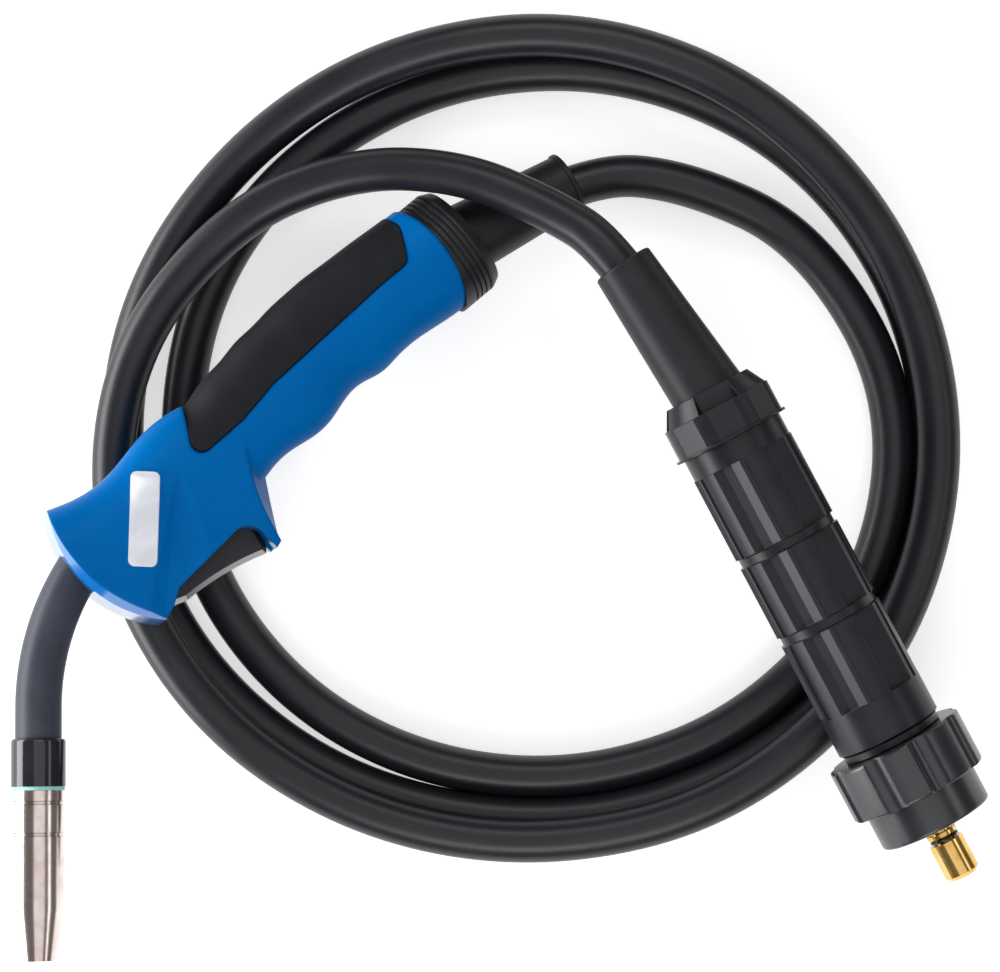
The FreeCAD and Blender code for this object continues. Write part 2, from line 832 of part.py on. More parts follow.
def screw_bosses(form):
    """Posts that carry the rear two screws inside the hollow grip."""
    posts = []
    for place in screw_places()[:2]:
        posts.append(
            Part.makeCylinder(SIZES["screw_boss_radius"], 60, place + Vector(0, 0, -30), Z_AXIS)
        )
    return [post.common(form) for post in posts]


def make_handle():
    """The two handle shells and their inlays."""
    rear_cut = rear_edge_cutter(0)
    grip_room = Part.makeBox(SIZES["grip_length"] + 5, 120, 90, Vector(0, -60, -45))
    grip = grip_form(0).common(rear_cut).common(grip_room)
    head = head_form().common(head_prism())
    head = head.cut([crease_cutter(1), crease_cutter(-1)])
    recess = inlay_prism(0).cut(grip_form(-SIZES["inlay_depth"] - SIZES["seat_gap"]))
    posts = screw_bosses(grip_form(-SIZES["shell_wall"] * 0.7))
    cable_room = Part.makeCylinder(
        SIZES["inner_cable_radius"] + SIZES["free_gap"], SIZES["block_start"], Vector(0, 0, 0), X_AXIS
    )
    holes = screw_holes()
    body = grip.fuse(head).cut(recess).cut(shell_cavities()).fuse(posts).cut([cable_room] + holes)
    for label, side in (("handle_shell_upper", 1), ("handle_shell_lower", -1)):
        plain_feature(label, body.common(half_space(side)), TORCH)
    inlay = inlay_prism(SIZES["inlay_groove"]).common(grip_form(SIZES["inlay_proud"]))
    inlay = inlay.cut(grip_form(-SIZES["inlay_depth"])).common(rear_cut).cut(holes)
    for label, side in (("grip_inlay_upper", 1), ("grip_inlay_lower", -1)):
        plain_feature(label, inlay.common(half_space(side)), TORCH)


def make_end_ring():
    """The grooved black ring that closes the handle's rear."""
    radius = SIZES["ring_radius"]
    spigot_end = SIZES["ring_length"] + SIZES["ring_spigot_length"]
    tail = SIZES["ring_tail"]
    bore = SIZES["ring_bore_radius"]
    ring = Part.makeCylinder(radius, SIZES["ring_length"], Vector(0, 0, 0), X_AXIS)
    ring = ring.fuse(Part.makeCone(SIZES["ring_tail_radius"], radius, tail, Vector(-tail, 0, 0), X_AXIS))
    for number in range(4):
        start = 0.9 + number * SIZES["ring_groove_pitch"]
        outer = Part.makeCylinder(radius + 1, SIZES["ring_groove_width"], Vector(start, 0, 0), X_AXIS)
        inner = Part.makeCylinder(
            radius - SIZES["ring_groove_depth"],
            SIZES["ring_groove_width"],
            Vector(start, 0, 0),
            X_AXIS,
        )
        ring = ring.cut(outer.cut(inner))
    ring = ring.cut(rear_edge_cutter(SIZES["seat_gap"]))
    spigot = Part.makeCylinder(SIZES["ring_spigot_radius"], spigot_end, Vector(0, 0, 0), X_AXIS)
    ring = ring.fuse(spigot)
    mouth = Part.makeCone(bore + 0.4 * tail, bore, tail, Vector(-tail, 0, 0), X_AXIS)
    ring = ring.cut([Part.makeCylinder(bore, spigot_end, Vector(0, 0, 0), X_AXIS), mouth])
    plain_feature("handle_end_ring", ring, TORCH)


def make_screws():
    """The three screws that hold the shells together."""
    names = ("handle_screw_rear", "handle_screw_middle", "handle_screw_front")
    depth = size("screw_head_depth")
    for name, place in zip(names, screw_places()):
        spot = TORCH * Placement(place, Rotation(Y_AXIS, -90))
        corners = [
            (-depth, ZERO),
            (size("screw_length") - depth, ZERO),
            (size("screw_length") - depth, size("screw_radius")),
            (size("screw_head_height") - depth, size("screw_radius")),
            (size("screw_head_height") - depth, size("screw_head_radius")),
            (-depth, size("screw_head_radius")),
        ]
        turned(name, corners, spot)


def make_swivel():
    """The metal sleeve in which the cable's end is held and on which it turns in the handle."""
    start = size("sleeve_start")
    corners = tube_corners(start, size("sleeve_end"), size("sleeve_bore_radius"), size("sleeve_radius"))
    turned("swivel_sleeve", corners, BOOT)


def make_handle_boot():
    """The boot: a ball held in the end ring, and a taper that guides the cable out of it."""
    length = SIZES["boot_length"]
    lip_start = length - SIZES["boot_lip_width"]
    ball_radius = SIZES["ball_radius"]
    base = SIZES["boot_base_radius"]
    taper_start = math.sqrt(ball_radius * ball_radius - base * base)
    ball = Part.makeSphere(ball_radius)
    ball = ball.common(
        Part.makeCylinder(
            2 * ball_radius, taper_start + SIZES["ball_end"], Vector(-SIZES["ball_end"], 0, 0), X_AXIS
        )
    )
    mouth = SIZES["boot_mouth_radius"]
    taper = Part.makeCone(base, mouth, lip_start - taper_start, Vector(taper_start, 0, 0), X_AXIS)
    lip = Part.makeCylinder(
        SIZES["boot_lip_radius"], SIZES["boot_lip_width"], Vector(lip_start, 0, 0), X_AXIS
    )
    form = ball.fuse([taper, lip])
    rim = [edge for edge in form.Edges if abs(edge.CenterOfMass.x - length) < 0.01]
    form = form.makeFillet(0.6, rim)
    seat = Part.makeCylinder(
        SIZES["sleeve_radius"] + SIZES["seat_gap"],
        SIZES["sleeve_end"] + 60,
        Vector(-60, 0, 0),
        X_AXIS,
    )
    bore = Part.makeCone(
        SIZES["cable_radius"] + SIZES["free_gap"],
        mouth - SIZES["boot_wall"] + 0.9,
        length - SIZES["sleeve_end"],
        Vector(SIZES["sleeve_end"], 0, 0),
        X_AXIS,
    )
    plain_feature("handle_boot", form.cut([seat, bore]), BOOT)


def make_trigger():
    """The trigger, its pin, the micro switch and the switch's plunger."""
    half = SIZES["trigger_half"]
    form = Part.Face(trigger_outline()).extrude(Vector(0, 0, 2 * half))
    form.translate(Vector(0, 0, -half))
    long_edges = [
        edge
        for edge in form.Edges
        if abs(abs(edge.CenterOfMass.z) - half) < 0.01 and edge.CenterOfMass.y > 33
    ]
    form = form.makeChamfer(SIZES["trigger_bevel"], long_edges)
    bore = Part.makeCylinder(
        SIZES["trigger_pin_radius"] + SIZES["running_gap"],
        4 * half,
        Vector(SIZES["trigger_pin_x"], SIZES["trigger_pin_y"], -2 * half),
        Z_AXIS,
    )
    plain_feature("trigger", form.cut(bore), TORCH)
    pin_place = Vector(SIZES["trigger_pin_x"], SIZES["trigger_pin_y"], 0)
    pin_half = size("trigger_pin_half")
    corners = tube_corners(-pin_half, pin_half, ZERO, size("trigger_pin_radius"))
    turned("trigger_pin", corners, TORCH * Placement(pin_place, Rotation(Y_AXIS, -90)))
    switch = new_body("microswitch", TORCH)
    switch_end = size("switch_x") + size("switch_length")
    face = size("switch_face_y")
    back = face - size("switch_height")
    outline = [
        (size("switch_x"), back),
        (switch_end, back),
        (switch_end, face),
        (size("switch_x"), face),
    ]
    pad(switch, "microswitch_case", outline, size("switch_half"), symmetric=True)
    DOC.recompute()
    well = plane_sketch(switch, "XZ_Plane", "microswitch_well_sketch", -back)
    draw_circle(well, size("plunger_x"), ZERO, size("plunger_radius") + size("running_gap"))
    pocket_sketch(switch, "microswitch_well", well, size("switch_height") * 2, symmetric=True)
    plunger_place = Placement(
        Vector(SIZES["plunger_x"], SIZES["switch_face_y"], 0), Rotation(Z_AXIS, 90)
    )
    corners = tube_corners(-size("plunger_in"), size("plunger_out"), ZERO, size("plunger_radius"))
    turned("switch_plunger", corners, TORCH * plunger_place)


def make_inner_parts():
    """The cable end, its nut and the block that holds the neck."""
    nut_start = size("nut_start")
    block_start = size("block_start")
    start = size("ball_x") - size("sleeve_start") + size("free_gap") * 8
    corners = tube_corners(start, nut_start, ZERO, size("inner_cable_radius"))
    turned("inner_cable", corners, TORCH)
    nut = new_body("cable_nut", TORCH)
    corner = size("cable_nut_flats") * (1 / math.sqrt(3))
    half = size("cable_nut_flats") * 0.5
    hexagon = [
        (corner, ZERO),
        (corner * 0.5, half),
        (corner * -0.5, half),
        (corner * -1, ZERO),
        (corner * -0.5, -half),
        (corner * 0.5, -half),
    ]
    pad(nut, "cable_nut_pad", hexagon, block_start - nut_start, role="YZ_Plane", along=nut_start)
    end = block_start + size("block_length")
    socket = size("tube_radius") + size("seat_gap")
    step = end - 12
    corners = [
        (block_start, size("block_gas_bore")),
        (step, size("block_gas_bore")),
        (step, socket),
        (end, socket),
        (end, size("block_radius")),
        (block_start, size("block_radius")),
    ]
    turned("neck_block", corners, TORCH)


def make_neck():
    """The bent copper tube and the black insulation over it, as swept bars."""
    tube_start = SIZES["block_start"] + SIZES["block_length"] - 12 + SIZES["seat_gap"]
    tube_tail = HOLDER_START.value
    outer = neck_path_solid(SIZES["tube_radius"], tube_start, tube_tail)
    inner = neck_path_solid(SIZES["tube_bore_radius"], tube_start, tube_tail)
    plain_feature("neck_tube", outer.cut(inner), TORCH)
    skin_start = SIZES["block_start"] + SIZES["block_length"] + SIZES["seat_gap"] * 4
    skin = neck_path_solid(SIZES["insulation_radius"], skin_start, SIZES["insulation_end"])
    room = neck_path_solid(SIZES["tube_radius"] + 0.05, skin_start, SIZES["insulation_end"])
    plain_feature("neck_insulation", skin.cut(room), TORCH)


def make_neck_end():
    """The collar, seal, nozzle seat, tip holder, diffuser and tip on the neck's straight end."""
    bore = size("tube_radius") + size("seat_gap")
    start = size("neck_collar_start")
    socket_end = size("insulation_end") + size("seat_gap")
    socket = size("insulation_radius") + size("seat_gap")
    end = NECK_COLLAR_END
    outer = size("neck_collar_radius")
    corners = [
        (start, socket),
        (socket_end, socket),
        (socket_end, bore),
        (end, bore),
        (end, outer),
        (start, outer),
    ]
    collar = turned("neck_collar", corners, NECK)
    round_rings(collar, "neck_collar_round", size("neck_collar_round") * 0.5, [(start, outer)])
    turned("seal_ring", tube_corners(end, NOZZLE_START, bore, size("seal_radius")), NECK)
    seat_radius = size("nozzle_radius") - size("nozzle_wall") - size("running_gap")
    seat_start = NOZZLE_START + size("seat_gap")
    turned("nozzle_seat", tube_corners(seat_start, SEAT_END, bore, seat_radius), NECK)
    holder = [
        (HOLDER_START, size("tube_bore_radius")),
        (TIP_THREAD_START, size("tube_bore_radius")),
        (TIP_THREAD_START, size("tip_thread_radius") + size("seat_gap")),
        (TIP_START, size("tip_thread_radius") + size("seat_gap")),
        (TIP_START, size("holder_radius")),
        (HOLDER_START, size("holder_radius")),
    ]
    turned("tip_holder", holder, NECK)
    diffuser_start = TIP_START - size("diffuser_length")
    sleeve_bore = size("holder_radius") + size("seat_gap")
    sleeve = size("nozzle_radius") - size("nozzle_wall") - size("free_gap")
    diffuser = turned(
        "gas_diffuser", tube_corners(diffuser_start, TIP_START, sleeve_bore, sleeve), NECK
    )
    DOC.recompute()
    sketch = plane_sketch(diffuser, "XZ_Plane", "gas_diffuser_hole_sketch")
    draw_circle(sketch, TIP_START - size("diffuser_length") * 0.35, ZERO, size("diffuser_hole_radius"))
    hole = pocket_sketch(diffuser, "gas_diffuser_hole", sketch, sleeve * 2)
    polar(diffuser, "gas_diffuser_holes", hole, DIFFUSER_HOLES)
    wire = size("wire_bore_radius")
    taper = TIP_END - 5
    tip = [
        (TIP_THREAD_START + 0.2, wire),
        (TIP_END, wire),
        (TIP_END, size("tip_radius") * 0.6),
        (taper, size("tip_radius")),
        (TIP_START, size("tip_radius")),
        (TIP_START, size("tip_thread_radius")),
        (TIP_THREAD_START + 0.2, size("tip_thread_radius")),
    ]
    turned("contact_tip", tip, NECK)


def make_nozzle():
    """The grooved, tapered gas nozzle that pulls off along the neck."""
    outer = size("nozzle_radius")
    inner = outer - size("nozzle_wall")
    tip = size("nozzle_tip_radius")
    taper = NOZZLE_END - size("nozzle_taper")
    grooved = outer - size("nozzle_groove_depth")
    width = size("nozzle_groove_width")
    first = NOZZLE_START + size("nozzle_groove_first")
    second = NOZZLE_START + size("nozzle_groove_second")
    start = NOZZLE_START + size("seat_gap")
    corners = [
        (start, inner),
        (taper, inner),
        (NOZZLE_END, tip - size("nozzle_wall") * 0.6),
        (NOZZLE_END, tip),
        (taper, outer),
        (second + width, outer),
        (second + width, grooved),
        (second, grooved),
        (second, outer),
        (first + width, outer),
        (first + width, grooved),
        (first, grooved),
        (first, outer),
        (start, outer),
    ]
    turned("gas_nozzle", corners, NECK)


# Plug, in its own frame: X runs from the cable to the brass nose

def make_plug_boot():
    """The smooth tapered boot at the plug's rear and the crimp sleeve inside it."""
    length = size("plug_boot_length")
    start = -length
    mouth = size("plug_boot_mouth_radius")
    base = size("plug_boot_base_radius")
    bore = size("cable_radius") + size("free_gap")
    corners = [
        (start, bore + 0.9),
        (start + 8, bore),
        (size("crimp_start"), bore),
        (size("crimp_start"), size("crimp_radius") + size("seat_gap")),
        (size("plug_boot_tail"), size("crimp_radius") + size("seat_gap")),
        (size("plug_boot_tail"), base),
        (start, mouth),
    ]
    body = turned("plug_boot", corners, PLUG_BOOT)
    round_rings(body, "plug_boot_round", size("free_gap") * 3, [(start, mouth)])
    corners = tube_corners(
        size("crimp_start"), size("plug_boot_tail"), ZERO, size("crimp_radius")
    )
    turned("crimp_sleeve", corners, PLUG_BOOT)


def make_rear_nut():
    """The crowned nut that clamps the boot to the housing."""
    radius = size("rear_nut_radius")
    shoulder = size("rear_nut_shoulder")
    end = size("rear_nut_length")
    rim = end - size("rear_nut_rim")
    rim_radius = size("rear_nut_rim_radius")
    bore = size("plug_boot_base_radius") + size("free_gap") * 2
    corners = [
        (ZERO, bore),
        (end, bore),
        (end, rim_radius),
        (rim, rim_radius),
        (rim, radius),
        (shoulder, radius),
        (ZERO, size("rear_nut_crown_radius")),
    ]
    nut = turned("rear_nut", corners, PLUG)
    floor = size("rear_nut_crown_floor")
    spread = math.tan(math.pi / (2 * CROWN_COUNT))
    gap = [
        (floor * -spread, floor),
        (floor * spread, floor),
        (rim_radius * spread, rim_radius),
        (rim_radius * -spread, rim_radius),
    ]
    round_cuts(nut, "rear_nut_crown", gap, ZERO, shoulder, CROWN_COUNT)
    flat = size("rear_nut_flat")
    half = flat * math.tan(math.pi / FLAT_COUNT)
    facet = [(-half, flat), (half, flat), (half, rim_radius), (-half, rim_radius)]
    round_cuts(nut, "rear_nut_facet", facet, shoulder, rim - shoulder, FLAT_COUNT)


def round_cuts(body, name, corners, start, length, count):
    """Cut an outline out of a body from a place along X, repeated round the axis."""
    DOC.recompute()
    sketch = plane_sketch(body, "YZ_Plane", name + "_sketch", start)
    draw_outline(sketch, corners)
    cut = pocket_sketch(body, name, sketch, length, reverse=True)
    polar(body, name + "s", cut, count)


def rib_profile():
    """The housing's outer profile, from its smooth front collar to its plain rear ring."""
    radius = size("housing_radius")
    low = radius - size("section_groove_depth")
    bevel = size("section_bevel")
    width = size("section_groove_width")
    step = PLUG_COLLAR_END - bevel
    corners = [(PLUG_HOUSING_END, low), (PLUG_COLLAR_END, low), (step, radius)]
    for groove in (PLUG_SECOND_GROOVE, PLUG_FIRST_GROOVE):
        corners += [
            (groove + width, radius),
            (groove + width - bevel * 0.4, low),
            (groove + bevel * 0.4, low),
            (groove, radius),
        ]
    plain = size("plain_ring_radius")
    corners += [(PLUG_RIBS_START, radius), (PLUG_RIBS_START, plain), (PLUG_NUT_END + size("seat_gap"), plain)]
    return corners


def slot_outline():
    """The slanted slot between two ribs: a steep wall, a narrow floor and a long slope."""
    radius = size("housing_radius")
    beyond = radius * 1.2
    wall_top = math.radians(19.0)
    wall_foot = math.radians(27.0)
    floor_end = math.radians(40.0)
    slope_top = math.radians(51.3)
    places = [
        (radius, wall_top),
        (radius * 0.87, wall_foot),
        (radius * 0.89, floor_end),
        (radius, slope_top),
        (beyond, slope_top),
        (beyond, wall_top),
    ]
    return [(reach * math.sin(turn), reach * math.cos(turn)) for reach, turn in places]


def make_housing():
    """The ribbed plug housing in two halves."""
    wall = size("housing_wall")
    inner = size("housing_radius") - size("section_groove_depth") - wall
    start = PLUG_NUT_END + size("seat_gap")
    front = PLUG_COLLAR_END - size("housing_collar") * 0.6
    neck = size("brass_neck_radius") + size("seat_gap")
    rear_bore = size("plug_boot_base_radius")
    corners = [
        (start, rear_bore),
        (start + wall, rear_bore),
        (start + wall, inner),
        (front, inner),
        (front, neck),
        (PLUG_HOUSING_END, neck),
    ] + rib_profile()
    form = turned("housing_form", corners, PLUG)
    groove = size("rib_groove_half")
    radius = size("housing_radius")
    floor = radius - size("rib_groove_depth")
    rib_groove = [(-groove, floor), (groove, floor), (groove, radius * 1.1), (-groove, radius * 1.1)]
    sections = (
        ("first", PLUG_RIBS_START, size("rib_section_first")),
        ("second", PLUG_SECOND_RIBS, size("rib_section_second")),
        ("third", PLUG_THIRD_RIBS, size("rib_section_third")),
    )
    for name, section_start, length in sections:
        round_cuts(form, f"housing_{name}_slot", slot_outline(), section_start, length, RIB_COUNT)
        round_cuts(form, f"housing_{name}_groove", rib_groove, section_start, length, RIB_COUNT)
    DOC.recompute()
    reach = size("housing_radius") * 2
    for label, turn in (("housing_upper", 0), ("housing_lower", 180)):
        space = DOC.addObject("Part::Box", label + "_space")
        for side, length in (("Length", PLUG_HOUSING_END), ("Width", reach), ("Height", reach)):
            space.setExpression(side, length.text)
        corner = Placement(Vector(0, -reach.value / 2, 0), Rotation())
        space.Placement = PLUG * Placement(Vector(0, 0, 0), Rotation(X_AXIS, turn)) * corner
        half = DOC.addObject("Part::Common", label)
        half.Label = label
        half.Base = form
        half.Tool = space


def make_gun_nut():
    """The lobed nut that turns on the brass body and screws onto the machine's socket."""
    start = PLUG_LOBES_START
    web_end = start + size("nut_web")
    neck = size("brass_neck_radius") + size("free_gap")
    bore = size("skirt_bore_radius")
    lobe = size("lobe_radius")
    skirt = size("skirt_radius")
    corners = [
        (start, neck),
        (web_end, neck),
        (web_end, bore),
        (PLUG_SKIRT_END, bore),
        (PLUG_SKIRT_END, skirt),
        (PLUG_SKIRT_START, skirt),
        (PLUG_SKIRT_START, lobe),
        (start, lobe),
    ]
    nut = turned("gun_nut", corners, PLUG)
    round_rings(
        nut,
        "gun_nut_round",
        size("lobe_round"),
        [(PLUG_SKIRT_START, lobe), (start, lobe), (PLUG_SKIRT_END, skirt)],
    )
    DOC.recompute()
    sketch = plane_sketch(nut, "YZ_Plane", "gun_nut_valley_sketch", start)
    cutter = size("valley_cut_radius")
    reach = lobe + cutter - size("valley_depth")
    draw_circle(sketch, reach * math.sin(VALLEY_TURN), reach * math.cos(VALLEY_TURN), cutter)
    cut = pocket_sketch(nut, "gun_nut_valley", sketch, size("lobe_length"), reverse=True)
    polar(nut, "gun_nut_valleys", cut, LOBE_COUNT)


def make_plug_inside():
    """The brass body, the insulating disc with its pins, and the brass nose."""
    front = PLUG_COLLAR_END - size("housing_collar") * 0.6
    core = size("crimp_radius") + 3
    inner = size("housing_radius") - size("section_groove_depth") - size("housing_wall")
    shoulder = front - size("seat_gap")
    bore = size("nose_bore_radius") + 1
    tail = PLUG_NUT_END + size("housing_wall") * 2
    corners = [
        (tail, ZERO),
        (PLUG_DISC_START - 2, ZERO),
        (PLUG_DISC_START - 2, bore),
        (PLUG_DISC_START, bore),
        (PLUG_DISC_START, size("brass_flange_radius")),
        (PLUG_FLANGE_START, size("brass_flange_radius")),
        (PLUG_FLANGE_START, size("brass_neck_radius")),
        (shoulder, size("brass_neck_radius")),
        (shoulder, inner - size("seat_gap")),
        (shoulder - 6, inner - size("seat_gap")),
        (shoulder - 6, core),
        (tail, core),
    ]
    turned("brass_body", corners, PLUG)
    nose_hole = size("nose_neck_radius") + size("seat_gap")
    disc_start = PLUG_DISC_START + size("seat_gap")
    disc = turned(
        "insulating_disc", tube_corners(disc_start, PLUG_DISC_END, nose_hole, size("disc_radius")), PLUG
    )
    DOC.recompute()
    sketch = plane_sketch(disc, "YZ_Plane", "insulating_disc_holes_sketch", disc_start)
    hole = size("pin_radius") + size("running_gap")
    for offset in (size("pin_offset"), -size("pin_offset")):
        draw_circle(sketch, offset, ZERO, hole)
    pocket_sketch(disc, "insulating_disc_holes", sketch, size("disc_length"), reverse=True)
    pins = (("contact_pin_left", 1), ("contact_pin_right", -1))
    for label, side in pins:
        place = PLUG * Placement(Vector(0, side * SIZES["pin_offset"], 0), Rotation())
        corners = [
            (PLUG_DISC_END - size("pin_in"), ZERO),
            (PLUG_DISC_END + size("pin_out"), ZERO),
            (PLUG_DISC_END + size("pin_out"), size("pin_radius") * 0.6),
            (PLUG_DISC_END + size("pin_out") - 0.8, size("pin_radius")),
            (PLUG_DISC_END - size("pin_in"), size("pin_radius")),
        ]
        turned(label, corners, place)
    make_nose(disc_start)


def make_nose(disc_start):
    """The brass nose: a neck, a small flange, a groove with its O-ring and a bored barrel."""
    bore = size("nose_bore_radius")
    neck = size("nose_neck_radius")
    outer = size("nose_radius")
    chamfer = size("nose_chamfer")
    ring_start = PLUG_SKIRT_END + size("nose_neck_length")
    ring_end = ring_start + size("nose_ring_length")
    barrel_start = ring_end + size("nose_groove_length")
    corners = [
        (disc_start, bore),
        (PLUG_NOSE_END, bore),
        (PLUG_NOSE_END, outer - chamfer),
        (PLUG_NOSE_END - chamfer, outer),
        (barrel_start, outer),
        (barrel_start, neck),
        (ring_end, neck),
        (ring_end, size("nose_ring_radius")),
        (ring_start, size("nose_ring_radius")),
        (ring_start, neck),
        (disc_start, neck),
    ]
    turned("gas_plug", corners, PLUG)
    ring = new_body("o_ring", PLUG)
    sketch = plane_sketch(ring, "XY_Plane", "o_ring_profile")
    section = size("o_ring_section")
    draw_circle(sketch, ring_end + size("nose_groove_length") * 0.5, neck + section * 0.96, section)
    turn = ring.newObject("PartDesign::Revolution", "o_ring_turn")
    turn.Profile = sketch
    turn.ReferenceAxis = (sketch, ["H_Axis"])
    turn.Angle = 360
    ring.Tip = turn


# Cable: straight runs joined by tangent arcs through points chosen by hand

CABLE_ROUTE = [
    (66.9, 112.0, 15.9),
    (94.5, 127.5, 9.7),
    (128.0, 125.5, 7.3),
    (171.0, 105.5, 7.3),
    (201.5, 50.5, 7.3),
    (192.3, -12.5, 7.3),
    (150.5, -59.3, 7.3),
    (95.7, -79.8, 7.3),
    (41.0, -76.3, 7.3),
    (-6.0, -52.0, 7.3),
    (-38.0, -9.0, 7.3),
    (-46.0, 42.0, 7.3),
    (-35.0, 94.0, 7.3),
    (-1.0, 136.5, 7.3),
    (51.0, 162.3, 7.3),
    (113.0, 163.5, 7.3),
    (173.0, 134.0, 7.3),
    (211.3, 76.3, 7.3),
    (216.5, 4.0, 7.3),
    (179.8, -57.5, 7.3),
    (121.5, -92.0, 7.3),
    (58.0, -96.6, 7.3),
    (0.0, -77.0, 7.3),
    (-45.0, -36.0, 7.3),
    (-67.0, 22.0, 7.3),
    (-60.0, 84.0, 7.3),
    (-25.0, 137.5, 8.8),
    (29.0, 170.0, 16.6),
    (94.0, 176.5, 20.4),
    (157.0, 151.0, 22.6),
    (202.0, 97.0, 23.0),
    (216.0, 28.0, 22.7),
    (195.0, -39.0, 22.9),
    (144.0, -87.3, 22.5),
    (79.0, -103.4, 22.1),
    (16.0, -92.2, 21.9),
    (-37.0, -56.2, 22.0),
    (-67.3, 1.0, 22.5),
    (-63.3, 64.0, 22.9),
    (-27.0, 110.5, 23.2),
    (14.0, 127.5, 26.8),
    (51.0, 126.0, 34.5),
    (82.0, 112.5, 40.8),
    (101.4, 99.5, 47.8),
    (119.7, 72.1, 49.0),
]


def route_path(points):
    """The path's edges, its arc radii and sample points along it."""
    edges = []
    radii = []
    samples = []
    previous = points[0]
    for index in range(1, len(points) - 1):
        corner = points[index]
        back = points[index - 1] - corner
        ahead = points[index + 1] - corner
        reach = 0.45 * min(back.Length, ahead.Length)
        half_turn = (math.pi - back.getAngle(ahead)) / 2
        back.normalize()
        ahead.normalize()
        radius = reach / math.tan(half_turn)
        start = corner + back * reach
        end = corner + ahead * reach
        inward = (back + ahead).normalize()
        middle = corner + inward * (radius / math.cos(half_turn) - radius)
        edges.append(Part.LineSegment(previous, start).toShape())
        arc = Part.Arc(start, middle, end).toShape()
        edges.append(arc)
        radii.append(radius)
        previous = end
    edges.append(Part.LineSegment(previous, points[-1]).toShape())
    for edge in edges:
        samples += edge.discretize(Number=9)[:-1]
    return Part.Wire(edges), radii, samples


def least_gap(samples, radius):
    """The least gap between two stretches of the tube that aren't next to each other."""
    least = 1000.0
    place = None
    for first in range(0, len(samples)):
        for second in range(first + 40, len(samples)):
            gap = (samples[first] - samples[second]).Length - 2 * radius
            if gap < least:
                least = gap
                place = samples[first]
    return least, place


def make_cable():
    """The coiled cable as one tube, with its radii, volume and least gap printed."""
    radius = SIZES["cable_radius"]
    points = [Vector(*point) for point in CABLE_ROUTE]
    path, radii, samples = route_path(points)
    start = (points[1] - points[0]).normalize()
    circle = Part.Circle(points[0], start, radius).toShape()
    tube = path.makePipeShell([Part.Wire([circle])], True, False)
    plain_feature("coaxial_cable", tube, Placement())
    section = math.pi * radius * radius
    print("cable radii:", " ".join(f"{value:.0f}" for value in radii))
    print(f"cable length {path.Length:.0f}, volume ratio {tube.Volume / section / path.Length:.4f}")
    gap, place = least_gap(samples, radius)
    print(f"least gap of the cable to itself {gap:.2f} at {place.x:.0f} {place.y:.0f}")
    lowest = min(point.z for point in samples) - radius
    print(f"cable's lowest point {lowest:.2f}")


def check_objects():
    """Stop if any object failed or any shape is empty or broken."""
    for item in DOC.Objects:
        if "Invalid" in item.State or "Error" in item.State:
            raise RuntimeError(f"{item.Name} failed: {item.State}")
    for item in sub_parts():
        if item.Shape.isNull() or not item.Shape.isValid() or item.Shape.Volume <= 0:
            raise RuntimeError(f"{item.Label} has a broken shape")


def sub_parts():
    """The objects that are pieces of the torch."""
    bodies = [item for item in DOC.Objects if item.TypeId == "PartDesign::Body"]
    solids = [item for item in DOC.Objects if item.TypeId in ("Part::Feature", "Part::Common")]
    return [item for item in bodies + solids if item.Label not in HELPERS]


def export_parts():
    """Write each piece to its own file."""
    for item in sub_parts():
        item.Shape.exportStep(f"parts/{item.Label}.step")
        print(f"{item.Label}: {item.Shape.Volume:.0f} cubic mm, {len(item.Shape.Solids)} solid")


def main():
    """Build the whole torch and write its pieces."""
    fill_sheet()
    make_handle()
    make_end_ring()
    make_screws()
    make_swivel()
    make_handle_boot()
    make_trigger()
    make_inner_parts()
    make_neck()
    make_neck_end()
    make_nozzle()
    make_plug_boot()
    make_rear_nut()
    make_housing()
    make_gun_nut()
    make_plug_inside()
    make_cable()
    DOC.recompute()
    check_objects()
    export_parts()


main()
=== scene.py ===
"""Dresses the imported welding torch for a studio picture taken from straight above.

The torch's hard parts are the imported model's own nodes, which get their finishes here.
The cable is a smooth free cord, and the bare plate on the head is made here.
Lengths are in metres and angles in degrees, unless a comment says otherwise.
"""

from __future__ import annotations

import logging
import math
from dataclasses import dataclass, field
from enum import Enum
from typing import Union

import bpy
from mathutils import Euler, Matrix, Vector

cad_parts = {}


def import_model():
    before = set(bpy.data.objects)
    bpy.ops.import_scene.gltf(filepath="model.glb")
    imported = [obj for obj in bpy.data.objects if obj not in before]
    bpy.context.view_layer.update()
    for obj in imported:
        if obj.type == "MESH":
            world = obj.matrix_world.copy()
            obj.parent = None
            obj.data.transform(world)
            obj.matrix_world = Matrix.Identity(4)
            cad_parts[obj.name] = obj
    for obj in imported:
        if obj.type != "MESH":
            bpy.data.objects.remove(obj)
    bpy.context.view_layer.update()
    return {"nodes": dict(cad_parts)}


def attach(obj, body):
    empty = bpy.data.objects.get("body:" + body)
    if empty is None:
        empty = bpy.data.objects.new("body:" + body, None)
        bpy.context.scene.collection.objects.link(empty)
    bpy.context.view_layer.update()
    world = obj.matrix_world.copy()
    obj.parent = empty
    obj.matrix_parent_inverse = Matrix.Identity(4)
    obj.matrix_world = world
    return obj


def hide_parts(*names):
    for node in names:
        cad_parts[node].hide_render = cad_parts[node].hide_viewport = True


LOG = logging.getLogger("torch")

Triple = tuple[float, float, float]
Pair = tuple[float, float]
Number = Union[float, int]

# How a screen turns a colour's parts into light
SCREEN_WHOLE = 255
SCREEN_TOE = 0.04045
SCREEN_TOE_SLOPE = 12.92
SCREEN_OFFSET = 0.055
SCREEN_POWER = 2.4

# The Mix node's sockets for colours, which share their names with those for numbers
MIX_FACTOR = 0
MIX_LOW = 6
MIX_HIGH = 7
MIX_RESULT = 2

# How many rays look for a groove's walls or a rounded edge
SOFT_SAMPLES = 8

# The middle of a noise's values
NOISE_MIDDLE = 0.5

